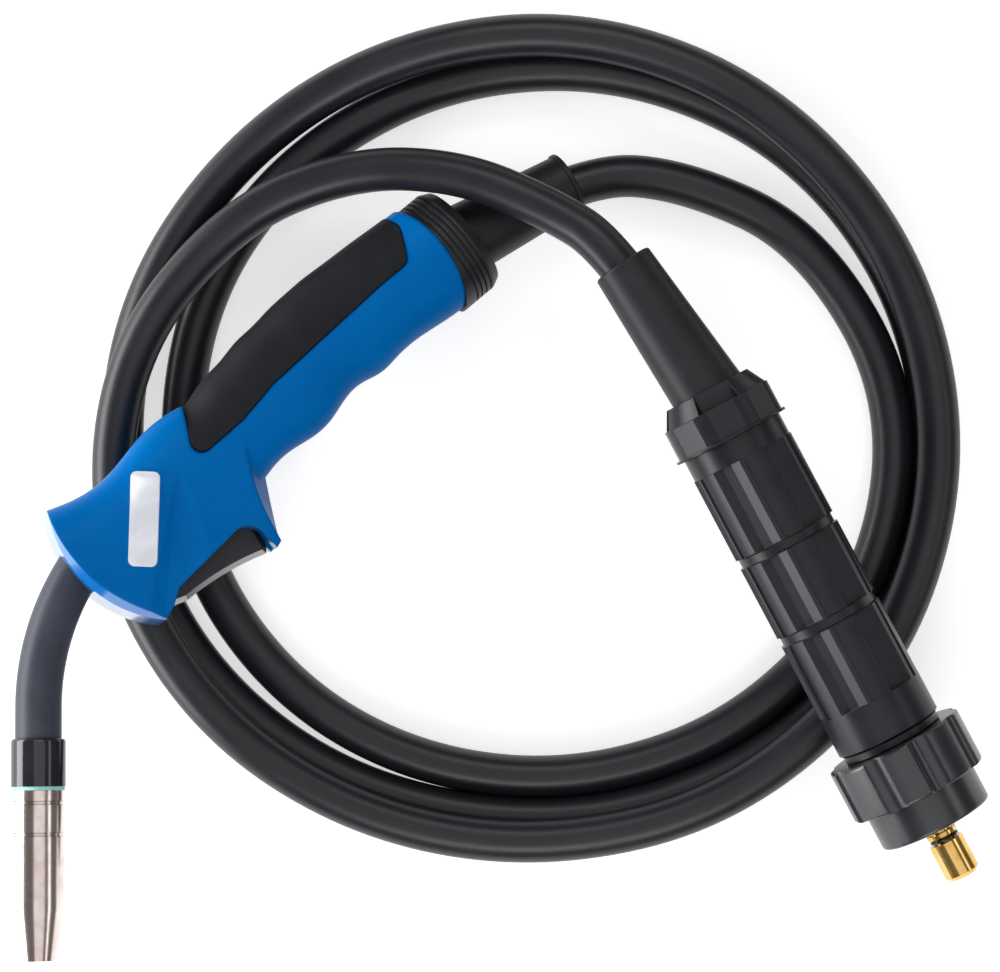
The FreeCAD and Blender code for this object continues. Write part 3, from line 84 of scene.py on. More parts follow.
BLACK: Triple = (0.0, 0.0, 0.0)


class Body(Enum):
    """The moving group that the new pieces ride on."""

    TORCH = "torch"


class Slot(Enum):
    """Names of material slots; no piece here takes its finish from them."""

    STEEL = "steel"
    CABLE = "cable"


class Finish(Enum):
    """The finishes, by the names of their materials."""

    AZURE_SHELL = "azure_shell"
    MATT_INLAY = "matt_inlay"
    SOFT_RUBBER = "soft_rubber"
    CHARCOAL_HOUSING = "charcoal_housing"
    NUT_PLASTIC = "nut_plastic"
    TRIGGER_PLASTIC = "trigger_plastic"
    GLOSS_COLLAR = "gloss_collar"
    NECK_SLEEVE = "neck_sleeve"
    PALE_SEAL = "pale_seal"
    WHITE_CERAMIC = "white_ceramic"
    CABLE_SHEATH = "cable_sheath"
    PLATED_NOZZLE = "plated_nozzle"
    TURNED_BRASS = "turned_brass"
    DRAWN_COPPER = "drawn_copper"
    BRIGHT_STEEL = "bright_steel"
    SILVER_FOIL = "silver_foil"


def tone(red: int, green: int, blue: int) -> Triple:
    """Turns a colour as seen on a screen into the light values of a shader.

    Args:
        red: Red part, 0 to 255.
        green: Green part, 0 to 255.
        blue: Blue part, 0 to 255.

    Returns:
        The colour's linear parts.
    """

    def straight(part: int) -> float:
        """Gives one part's linear value."""
        share = part / SCREEN_WHOLE
        if share <= SCREEN_TOE:
            return share / SCREEN_TOE_SLOPE
        return ((share + SCREEN_OFFSET) / (1 + SCREEN_OFFSET)) ** SCREEN_POWER

    return (straight(red), straight(green), straight(blue))


class Signal:
    """A number that varies over a surface, on which sums are written as in Python."""

    def __init__(self, sheet: NodeSheet, socket: bpy.types.NodeSocket) -> None:
        """Keeps the node sheet and the output socket."""
        self.sheet = sheet
        self.socket = socket

    def _sum(self, operation: str, *values: Union[Signal, Number]) -> Signal:
        """Adds one Math node.

        Args:
            operation: The node's operation.
            values: What goes into its sockets, in order.

        Returns:
            The node's result.
        """
        links = dict(enumerate(values))
        node = self.sheet.node("ShaderNodeMath", {"operation": operation}, links)
        return Signal(self.sheet, node.outputs[0])

    def __add__(self, other: Union[Signal, Number]) -> Signal:
        """Adds."""
        return self._sum("ADD", self, other)

    def __radd__(self, other: Number) -> Signal:
        """Adds to a number."""
        return self._sum("ADD", other, self)

    def __sub__(self, other: Union[Signal, Number]) -> Signal:
        """Subtracts."""
        return self._sum("SUBTRACT", self, other)

    def __rsub__(self, other: Number) -> Signal:
        """Subtracts from a number."""
        return self._sum("SUBTRACT", other, self)

    def __mul__(self, other: Union[Signal, Number]) -> Signal:
        """Multiplies."""
        return self._sum("MULTIPLY", self, other)

    def __rmul__(self, other: Number) -> Signal:
        """Multiplies a number."""
        return self._sum("MULTIPLY", other, self)

    def swing(self, reach: Number) -> Signal:
        """Swings a noise round 0, by half the reach to each side at most."""
        return (self - NOISE_MIDDLE) * reach

    def between(self, low: Number, high: Number) -> Signal:
        """Rises smoothly from 0 at low to 1 at high.

        Args:
            low: Where it leaves 0.
            high: Where it reaches 1.

        Returns:
            The mask.
        """
        settings = {"interpolation_type": "SMOOTHSTEP", "clamp": True}
        links = {"Value": self, "From Min": low, "From Max": high}
        node = self.sheet.node("ShaderNodeMapRange", settings, links)
        return Signal(self.sheet, node.outputs["Result"])


Feed = Union[Signal, Number, Triple, bpy.types.NodeSocket]
Settings = dict[str, Union[str, Number]]
Links = dict[Union[str, int], Feed]


class NodeSheet:
    """The node tree of one material, with the few moves that the finishes share."""

    def __init__(self, name: str) -> None:
        """Starts a material with one Principled shader.

        Args:
            name: The material's name.
        """
        self.material = bpy.data.materials.new(name)
        self.material.use_nodes = True
        self.tree = self.material.node_tree
        self.shader = self.tree.nodes["Principled BSDF"]

    def node(self, kind: str, settings: Settings, links: Links) -> bpy.types.Node:
        """Adds any node.

        Args:
            kind: The node's type.
            settings: Its settings by name.
            links: The value or link of each socket, by name or place.

        Returns:
            The new node.
        """
        made = self.tree.nodes.new(kind)
        for name, value in settings.items():
            setattr(made, name, value)
        for place, value in links.items():
            self.feed(made.inputs[place], value)
        return made

    def feed(self, socket: bpy.types.NodeSocket, value: Feed) -> None:
        """Links a socket, or sets its value.

        Args:
            socket: The socket to fill.
            value: A signal, a socket, a number or a colour.
        """
        if isinstance(value, Signal):
            self.tree.links.new(value.socket, socket)
        elif isinstance(value, bpy.types.NodeSocket):
            self.tree.links.new(value, socket)
        elif isinstance(value, tuple) and socket.type == "RGBA":
            socket.default_value = (*value, 1.0)
        else:
            socket.default_value = value

    def vector(self, operation: str, links: Links) -> bpy.types.Node:
        """Adds one Vector Math node."""
        return self.node("ShaderNodeVectorMath", {"operation": operation}, links)

    def place(self) -> bpy.types.NodeSocket:
        """Gives the point on the surface."""
        return self.node("ShaderNodeTexCoord", {}, {}).outputs["Object"]

    def along(self, direction: Triple) -> Signal:
        """Measures how far the point lies along a direction.

        Args:
            direction: The direction, of length 1.

        Returns:
            The distance from the origin.
        """
        reach = self.vector("DOT_PRODUCT", {0: self.place(), 1: direction})
        return Signal(self, reach.outputs["Value"])

    def facing(self, direction: Triple) -> Signal:
        """Tells how far the surface faces a direction.

        Args:
            direction: The direction, of length 1.

        Returns:
            1 where it faces it, 0 where it is square to it, less where it turns away.
        """
        outward = self.node("ShaderNodeTexCoord", {}, {}).outputs["Normal"]
        reach = self.vector("DOT_PRODUCT", {0: outward, 1: direction})
        return Signal(self, reach.outputs["Value"])

    def hollow(self, reach: float) -> Signal:
        """Tells how far the surface lies in a groove.

        Args:
            reach: How far the groove's walls are looked for.

        Returns:
            0 on an open face, up to 1 at the bottom of a narrow groove.
        """
        settings = {"samples": SOFT_SAMPLES}
        node = self.node("ShaderNodeAmbientOcclusion", settings, {"Distance": reach})
        return 1 - Signal(self, node.outputs["AO"])

    def noise(self, grain: float, detail: float, rough: float = 0.5) -> Signal:
        """Gives soft clouds.

        Args:
            grain: The clouds' size.
            detail: How many finer layers they have.
            rough: How strong the finer layers are.

        Returns:
            The clouds' value, mostly 0.3 to 0.7.
        """
        links = {
            "Vector": self.place(),
            "Scale": 1 / grain,
            "Detail": detail,
            "Roughness": rough,
        }
        node = self.node("ShaderNodeTexNoise", {}, links)
        return Signal(self, node.outputs["Fac"])

    def streaks(
        self, across: Triple, thin: float, grain: float, detail: float
    ) -> Signal:
        """Gives clouds that are squeezed along one direction, as fine lines.

        Args:
            across: The direction that the lines are thin in, of length 1.
            thin: How many times thinner than long they are.
            grain: Their length.
            detail: How many finer layers they have.

        Returns:
            The lines' value, mostly 0.3 to 0.7.
        """
        reach = self.along(across) * (thin - 1)
        push = self.vector("SCALE", {0: across, "Scale": reach})
        moved = self.vector("ADD", {0: self.place(), 1: push.outputs["Vector"]})
        links = {
            "Vector": moved.outputs["Vector"],
            "Scale": 1 / grain,
            "Detail": detail,
        }
        node = self.node("ShaderNodeTexNoise", {}, links)
        return Signal(self, node.outputs["Fac"])

    def blend(self, mask: Signal, low: Feed, high: Feed) -> bpy.types.NodeSocket:
        """Mixes two colours.

        Args:
            mask: 0 for the first colour, 1 for the second.
            low: The first colour.
            high: The second colour.

        Returns:
            The mixed colour.
        """
        links = {MIX_FACTOR: mask, MIX_LOW: low, MIX_HIGH: high}
        node = self.node("ShaderNodeMix", {"data_type": "RGBA"}, links)
        return node.outputs[MIX_RESULT]

    def bump(self, height: Signal, depth: float, edge: float = 0.0) -> None:
        """Raises the surface by a height, and softens its edges.

        Args:
            height: The height, 0 to 1.
            depth: What a height of 1 is.
            edge: How wide the edges are rounded.
        """
        links = {"Strength": 1.0, "Distance": depth, "Height": height}
        if edge:
            settings = {"samples": SOFT_SAMPLES}
            soft = self.node("ShaderNodeBevel", settings, {"Radius": edge})
            links["Normal"] = soft.outputs["Normal"]
        node = self.node("ShaderNodeBump", {}, links)
        self.feed(self.shader.inputs["Normal"], node.outputs["Normal"])

    def set(self, **values: Feed) -> None:
        """Sets sockets of the shader, with _ for each space in a name."""
        for name, value in values.items():
            self.feed(self.shader.inputs[name.replace("_", " ")], value)


@dataclass(frozen=True)
class MouldedPlastic:
    """A moulded plastic with cloudy gloss and a fine grain.

    A ramp says where its mask leaves 0 and where it reaches 1, and a spread says how
    much a noise changes the roughness. The gloss lies on the side that faces
    gloss_side, and the groove is how far a groove's walls are looked for, for the
    painted shade that darkens the grooves.
    """

    finish: Finish
    colour: Triple
    deep: Triple
    roughness: float
    specular: float
    cloud: float
    cloud_spread: float
    grain: float
    depth: float
    edge: float = 0.0
    gloss: float = 0.0
    groove: float = 0.0
    cloud_layers: float = 3.0
    cloud_ramp: Pair = (0.3, 0.7)
    grain_layers: float = 2.0
    grain_rough: float = 0.6
    grain_spread: float = 0.06
    gloss_side: Triple = (-0.77, -0.64, 0.0)
    gloss_ramp: Pair = (0.3, 0.75)
    gloss_roughness: float = 0.15
    # Painted shade: grooves are darkened towards the near-black colour below
    groove_shade_ramp: Pair = (0.15, 0.7)
    groove_shade_share: float = 0.85
    groove_shade_colour: Triple = tone(6, 6, 8)

    def make(self) -> bpy.types.Material:
        """Makes the material.

        Returns:
            The finished material.
        """
        sheet = NodeSheet(self.finish.value)
        clouds = sheet.noise(self.cloud, self.cloud_layers)
        grains = sheet.noise(self.grain, self.grain_layers, self.grain_rough)
        colour = sheet.blend(clouds.between(*self.cloud_ramp), self.deep, self.colour)
        # Painted shade: the colour darkens where a groove's walls close in
        if self.groove:
            shade = sheet.hollow(self.groove).between(*self.groove_shade_ramp)
            colour = sheet.blend(shade * self.groove_shade_share, colour, self.groove_shade_colour)
        rough = self.roughness + clouds.swing(self.cloud_spread)
        rough = rough + grains.swing(self.grain_spread)
        sheet.set(Base_Color=colour, Roughness=rough)
        if self.gloss:
            side = sheet.facing(self.gloss_side).between(*self.gloss_ramp)
            sheet.set(Coat_Weight=side * self.gloss)
            sheet.set(Coat_Roughness=self.gloss_roughness)
        sheet.set(Specular_IOR_Level=self.specular)
        sheet.bump(grains, self.depth, self.edge)
        return sheet.material


@dataclass(frozen=True)
class TriggerPlastic:
    """The trigger's dark plastic, with a painted highlight on the side that faces side:
    pale colour, plus real gloss from lower roughness and some metallic.
    """

    finish: Finish
    colour: Triple
    deep: Triple
    # The pale colour of the painted highlight
    painted_highlight_colour: Triple
    side: Triple
    side_ramp: Pair = (0.42, 0.70)
    side_gloss: float = 0.22
    side_metallic: float = 0.35
    roughness: float = 0.42
    specular: float = 0.4
    cloud: float = 0.01
    cloud_layers: float = 3.0
    cloud_ramp: Pair = (0.3, 0.7)
    cloud_spread: float = 0.08
    grain: float = 0.0006
    grain_layers: float = 2.0
    grain_rough: float = 0.6
    depth: float = 0.00001
    edge: float = 0.0006

    def make(self) -> bpy.types.Material:
        """Makes the material.

        Returns:
            The finished material.
        """
        sheet = NodeSheet(self.finish.value)
        clouds = sheet.noise(self.cloud, self.cloud_layers)
        grains = sheet.noise(self.grain, self.grain_layers, self.grain_rough)
        dark = sheet.blend(clouds.between(*self.cloud_ramp), self.deep, self.colour)
        # Painted highlight: the side that faces side turns pale, with real gloss from
        # lower roughness and some metallic
        painted_highlight = sheet.facing(self.side).between(*self.side_ramp)
        colour = sheet.blend(painted_highlight, dark, self.painted_highlight_colour)
        rough = self.roughness + clouds.swing(self.cloud_spread)
        rough = rough - painted_highlight * self.side_gloss
        sheet.set(Base_Color=colour, Roughness=rough)
        sheet.set(Metallic=painted_highlight * self.side_metallic)
        sheet.set(Specular_IOR_Level=self.specular)
        sheet.bump(grains, self.depth, self.edge)
        return sheet.material


@dataclass(frozen=True)
class CableRubber:
    """The cable's smooth sheath, with a few faint scuffs."""

    finish: Finish
    colour: Triple
    deep: Triple
    scuff: Triple
    roughness: float
    specular: float
    cloud: float = 0.02
    cloud_layers: float = 3.0
    cloud_ramp: Pair = (0.3, 0.7)
    cloud_spread: float = 0.10
    grain: float = 0.0009
    grain_layers: float = 2.0
    grain_share: float = 0.35
    wave: float = 0.006
    wave_layers: float = 1.0
    depth: float = 0.00002
    mark: float = 0.0042
    mark_layers: float = 4.0
    mark_rough: float = 0.62
    mark_ramp: Pair = (0.72, 0.80)
    mark_paleness: float = 0.4
    mark_spread: float = 0.12

    def make(self) -> bpy.types.Material:
        """Makes the material.

        Returns:
            The finished material.
        """
        sheet = NodeSheet(self.finish.value)
        clouds = sheet.noise(self.cloud, self.cloud_layers)
        fine = sheet.noise(self.grain, self.grain_layers)
        waves = sheet.noise(self.wave, self.wave_layers)
        scuffs = sheet.noise(self.mark, self.mark_layers, self.mark_rough)
        marks = scuffs.between(*self.mark_ramp)
        colour = sheet.blend(clouds.between(*self.cloud_ramp), self.deep, self.colour)
        colour = sheet.blend(marks * self.mark_paleness, colour, self.scuff)
        rough = self.roughness + clouds.swing(self.cloud_spread)
        rough = rough + marks * self.mark_spread
        sheet.set(Base_Color=colour, Roughness=rough, Specular_IOR_Level=self.specular)
        sheet.bump(fine * self.grain_share + waves, self.depth)
        return sheet.material


@dataclass(frozen=True)
class Metal:
    """A turned or plated metal, whose fine turning lines are thin along its axis.

    A cut of 0 leaves the lines out, and a groove of 0 leaves grooves as bright as the
    rest;
    any other groove paints shade into them, darkening them towards a brown.
    """

    finish: Finish
    colour: Triple
    tint: Triple
    roughness: float
    axis: Triple = (0.0, 1.0, 0.0)
    line: float = 0.0003
    line_stretch: float = 30.0
    line_layers: float = 2.0
    line_spread: float = 0.08
    cut: float = 0.000004
    metallic: float = 1.0
    cloud: float = 0.007
    cloud_layers: float = 3.0
    cloud_ramp: Pair = (0.35, 0.7)
    cloud_spread: float = 0.10
    groove: float = 0.0
    # Painted shade: grooves are darkened towards the brown below
    groove_shade_ramp: Pair = (0.08, 0.6)
    groove_shade_share: float = 0.8
    groove_shade_colour: Triple = tone(40, 26, 20)

    def make(self) -> bpy.types.Material:
        """Makes the material.

        Returns:
            The finished material.
        """
        sheet = NodeSheet(self.finish.value)
        clouds = sheet.noise(self.cloud, self.cloud_layers)
        colour = sheet.blend(clouds.between(*self.cloud_ramp), self.colour, self.tint)
        # Painted shade: the colour darkens where a groove's walls close in
        if self.groove:
            shade = sheet.hollow(self.groove).between(*self.groove_shade_ramp)
            colour = sheet.blend(shade * self.groove_shade_share, colour, self.groove_shade_colour)
        rough = self.roughness + clouds.swing(self.cloud_spread)
        if self.cut:
            length = self.line * self.line_stretch
            lines = sheet.streaks(
                self.axis, self.line_stretch, length, self.line_layers
            )
            rough = rough + lines.swing(self.line_spread)
            sheet.bump(lines, self.cut)
        sheet.set(Base_Color=colour, Roughness=rough, Metallic=self.metallic)
        return sheet.material


RECIPES: tuple[Union[MouldedPlastic, TriggerPlastic, CableRubber, Metal], ...] = (
    MouldedPlastic(
        Finish.AZURE_SHELL,
        colour=tone(0, 108, 184),
        deep=tone(0, 102, 178),
        roughness=0.36,
        specular=0.03,
        cloud=0.02,
        cloud_spread=0.05,
        grain=0.0005,
        depth=0.000004,
        edge=0.0020,
        gloss=1.0,
    ),
    MouldedPlastic(
        Finish.MATT_INLAY,
        colour=tone(24, 25, 30),
        deep=tone(19, 20, 25),
        roughness=0.60,
        specular=0.22,
        cloud=0.008,
        cloud_spread=0.08,
        grain=0.0005,
        depth=0.00002,
        edge=0.0004,
    ),
    MouldedPlastic(
        Finish.SOFT_RUBBER,
        colour=tone(33, 33, 38),
        deep=tone(27, 27, 32),
        roughness=0.46,
        specular=0.35,
        cloud=0.01,
        cloud_spread=0.08,
        grain=0.0006,
        depth=0.00001,
        edge=0.0002,
    ),
    MouldedPlastic(
        Finish.CHARCOAL_HOUSING,
        colour=tone(28, 29, 35),
        deep=tone(23, 24, 30),
        roughness=0.34,
        specular=0.36,
        cloud=0.01,
        cloud_spread=0.06,
        grain=0.0005,
        depth=0.000006,
        edge=0.0003,
        # Painted shade in the grooves
        groove=0.005,
    ),
    MouldedPlastic(
        Finish.NUT_PLASTIC,
        colour=tone(34, 35, 41),
        deep=tone(29, 30, 36),
        roughness=0.26,
        specular=0.8,
        cloud=0.01,
        cloud_spread=0.06,
        grain=0.0005,
        depth=0.000006,
        edge=0.0004,
        # Painted shade in the grooves
        groove=0.005,
    ),
    TriggerPlastic(
        Finish.TRIGGER_PLASTIC,
        colour=tone(36, 37, 41),
        deep=tone(31, 32, 36),
        # Painted highlight colour on the trigger's facing side
        painted_highlight_colour=tone(240, 239, 236),
        side=(0.1, -0.994, -0.04),
    ),
    MouldedPlastic(
        Finish.GLOSS_COLLAR,
        colour=tone(36, 36, 42),
        deep=tone(30, 30, 36),
        roughness=0.12,
        specular=0.6,
        cloud=0.01,
        cloud_spread=0.04,
        grain=0.0005,
        depth=0.000002,
        edge=0.0002,
    ),
    MouldedPlastic(
        Finish.NECK_SLEEVE,
        colour=tone(62, 65, 76),
        deep=tone(56, 59, 70),
        roughness=0.44,
        specular=0.3,
        cloud=0.01,
        cloud_spread=0.08,
        grain=0.0005,
        depth=0.00001,
    ),
    MouldedPlastic(
        Finish.PALE_SEAL,
        colour=tone(160, 226, 216),
        deep=tone(145, 210, 202),
        roughness=0.4,
        specular=0.4,
        cloud=0.003,
        cloud_spread=0.06,
        grain=0.0004,
        depth=0.000006,
    ),
    MouldedPlastic(
        Finish.WHITE_CERAMIC,
        colour=tone(225, 220, 208),
        deep=tone(210, 204, 190),
        roughness=0.5,
        specular=0.4,
        cloud=0.004,
        cloud_spread=0.08,
        grain=0.0004,
        depth=0.00001,
    ),
    CableRubber(
        Finish.CABLE_SHEATH,
        colour=tone(29, 29, 35),
        deep=tone(23, 23, 29),
        scuff=tone(66, 66, 70),
        roughness=0.38,
        specular=0.45,
    ),
    Metal(
        Finish.PLATED_NOZZLE,
        colour=tone(236, 222, 218),
        tint=tone(222, 202, 196),
        roughness=0.19,
        axis=(0.0128, -0.9948, 0.1006),
        # Painted shade in the grooves
        groove=0.002,
    ),
    Metal(
        Finish.TURNED_BRASS,
        colour=tone(244, 202, 126),
        tint=tone(228, 180, 98),
        roughness=0.16,
        axis=(-0.469, 0.883, 0.0),
        # Painted shade in the grooves
        groove=0.0015,
    ),
    Metal(
        Finish.DRAWN_COPPER,
        colour=tone(214, 138, 104),
        tint=tone(190, 112, 82),
        roughness=0.26,
    ),
    Metal(
        Finish.BRIGHT_STEEL,
        colour=tone(196, 198, 202),
        tint=tone(176, 178, 182),
        roughness=0.26,
    ),
    Metal(
        Finish.SILVER_FOIL,
        colour=tone(240, 243, 250),
        tint=tone(228, 231, 240),
        roughness=0.30,
        cut=0.0,
        metallic=0.45,
    ),
)


@dataclass
class Finishes:
    """All finishes that the pieces are dressed in."""

    made: dict[Finish, bpy.types.Material] = field(default_factory=dict)

    def make_all(self) -> None:
        """Makes every finish once."""
        for recipe in RECIPES:
            self.made[recipe.finish] = recipe.make()
        LOG.info("made %d finishes", len(self.made))


# The cable's line from the handle's boot, through the coil's loops, to the plug's boot
CABLE_POINTS: tuple[Triple, ...] = (
    (0.0669, 0.1120, 0.0159),
    (0.0945, 0.1275, 0.0097),
    (0.1280, 0.1255, 0.0073),
    (0.1712, 0.1057, 0.0073),
    (0.2034, 0.0507, 0.0073),
    (0.1941, -0.0132, 0.0073),
    (0.1516, -0.0607, 0.0073),
    (0.0959, -0.0807, 0.0073),
    (0.0409, -0.0767, 0.0073),
    (-0.0060, -0.0520, 0.0073),
    (-0.0380, -0.0090, 0.0073),
    (-0.0460, 0.0420, 0.0073),
    (-0.0350, 0.0940, 0.0073),
    (-0.0008, 0.1362, 0.0073),
    (0.0510, 0.1624, 0.0073),
    (0.1130, 0.1636, 0.0073),
    (0.1730, 0.1340, 0.0073),
    (0.2109, 0.0762, 0.0073),
    (0.2159, 0.0041, 0.0073),
    (0.1794, -0.0571, 0.0073),
    (0.1209, -0.0903, 0.0073),
    (0.0582, -0.0948, 0.0073),
    (0.0001, -0.0769, 0.0073),
    (-0.0450, -0.0360, 0.0073),
    (-0.0670, 0.0220, 0.0073),
    (-0.0600, 0.0840, 0.0073),
    (-0.0241, 0.1366, 0.0088),
    (0.0294, 0.1687, 0.0166),
    (0.0939, 0.1761, 0.0204),
    (0.1572, 0.1513, 0.0226),
    (0.2029, 0.0975, 0.0230),
    (0.2175, 0.0279, 0.0227),
    (0.1966, -0.0400, 0.0229),
    (0.1441, -0.0874, 0.0225),
    (0.0790, -0.1027, 0.0221),
    (0.0162, -0.0918, 0.0219),
    (-0.0369, -0.0561, 0.0220),
    (-0.0673, 0.0010, 0.0225),
    (-0.0633, 0.0640, 0.0229),
    (-0.0270, 0.1105, 0.0232),
    (0.0140, 0.1275, 0.0268),
    (0.0510, 0.1260, 0.0345),
    (0.0820, 0.1125, 0.0408),
    (0.1014, 0.0995, 0.0478),
    (0.1197, 0.0721, 0.0490),
)


@dataclass
class CoaxialCable:
    """The free cable: one smooth line from the handle's boot to the plug's boot."""

    diameter: float = 0.0145
    length: float = 2.5
    curve_order: int = 3
    steps_between_points: int = 14
    rounding_steps: int = 9
    points: tuple[Triple, ...] = CABLE_POINTS
    on_it: tuple[str, ...] = (
        "plug_boot",
        "crimp_sleeve",
        "rear_nut",
        "housing_upper",
        "housing_lower",
        "gun_nut",
        "brass_body",
        "insulating_disc",
        "gas_plug",
        "o_ring",
        "contact_pin_left",
        "contact_pin_right",
    )

    def build(self, finishes: Finishes) -> None:
        """Lays the cable and dresses it.

        Args:
            finishes: The made finishes.
        """
        curve = bpy.data.curves.new("free_cable", "CURVE")
        curve.dimensions = "3D"
        curve.resolution_u = self.steps_between_points
        curve.bevel_depth = self.diameter / 2
        curve.bevel_resolution = self.rounding_steps
        curve.use_fill_caps = True
        line = curve.splines.new("NURBS")
        line.points.add(len(self.points) - 1)
        for knot, place in zip(line.points, self.points):
            knot.co = (*place, 1.0)
        line.order_u = self.curve_order
        line.use_endpoint_u = True
        cable = bpy.data.objects.new("free_cable", curve)
        bpy.context.scene.collection.objects.link(cable)
        curve.materials.append(finishes.made[Finish.CABLE_SHEATH])
        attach(cable, Body.TORCH.value)
        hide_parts("coaxial_cable")
        LOG.info("laid the cable over %d points", len(self.points))


@dataclass
class SubAssembly:
    """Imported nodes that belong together, each with its finish."""

    table: tuple[tuple[str, Finish], ...] = ()

    def dress(self, nodes: dict[str, bpy.types.Object], finishes: Finishes) -> None:
        """Gives the nodes their finishes.

        Args:
            nodes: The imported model's nodes by name.
            finishes: The made finishes.
        """
        for name, finish in self.table:
            for place in nodes[name].material_slots:
                place.material = finishes.made[finish]
            LOG.info("dressed %s in %s", name, finish.value)
        LOG.info("finished %s", type(self).__name__)


@dataclass
class TorchHandle(SubAssembly):
    """The moulded handle with its trigger, ring, screws and boot."""

    table: tuple[tuple[str, Finish], ...] = (
        ("handle_shell_upper", Finish.AZURE_SHELL),
        ("handle_shell_lower", Finish.AZURE_SHELL),
        ("grip_inlay_upper", Finish.MATT_INLAY),
        ("grip_inlay_lower", Finish.MATT_INLAY),
        ("handle_end_ring", Finish.SOFT_RUBBER),
        ("handle_screw_rear", Finish.BRIGHT_STEEL),
        ("handle_screw_middle", Finish.BRIGHT_STEEL),
        ("handle_screw_front", Finish.BRIGHT_STEEL),
        ("swivel_sleeve", Finish.SOFT_RUBBER),
        ("handle_boot", Finish.SOFT_RUBBER),
        ("trigger", Finish.TRIGGER_PLASTIC),
        ("trigger_pin", Finish.BRIGHT_STEEL),
        ("microswitch", Finish.CHARCOAL_HOUSING),
        ("switch_plunger", Finish.CHARCOAL_HOUSING),
        ("inner_cable", Finish.CABLE_SHEATH),
        ("cable_nut", Finish.TURNED_BRASS),
        ("neck_block", Finish.TURNED_BRASS),
    )


@dataclass
class SwanNeck(SubAssembly):
    """The bent neck with its nozzle."""

    table: tuple[tuple[str, Finish], ...] = (
        ("neck_tube", Finish.TURNED_BRASS),
        ("neck_insulation", Finish.NECK_SLEEVE),
        ("neck_collar", Finish.GLOSS_COLLAR),
        ("seal_ring", Finish.PALE_SEAL),
        ("nozzle_seat", Finish.TURNED_BRASS),
        ("tip_holder", Finish.TURNED_BRASS),
        ("gas_diffuser", Finish.WHITE_CERAMIC),
        ("contact_tip", Finish.DRAWN_COPPER),
        ("gas_nozzle", Finish.PLATED_NOZZLE),
    )


@dataclass
class CentralPlug(SubAssembly):
    """The plug at the cable's far end."""

    table: tuple[tuple[str, Finish], ...] = (
        ("plug_boot", Finish.SOFT_RUBBER),
        ("crimp_sleeve", Finish.DRAWN_COPPER),
        ("rear_nut", Finish.CHARCOAL_HOUSING),
        ("housing_upper", Finish.CHARCOAL_HOUSING),
        ("housing_lower", Finish.CHARCOAL_HOUSING),
        ("gun_nut", Finish.NUT_PLASTIC),
        ("brass_body", Finish.TURNED_BRASS),
        ("insulating_disc", Finish.CHARCOAL_HOUSING),
        ("gas_plug", Finish.TURNED_BRASS),
        ("o_ring", Finish.GLOSS_COLLAR),
        ("contact_pin_left", Finish.TURNED_BRASS),
        ("contact_pin_right", Finish.TURNED_BRASS),
    )


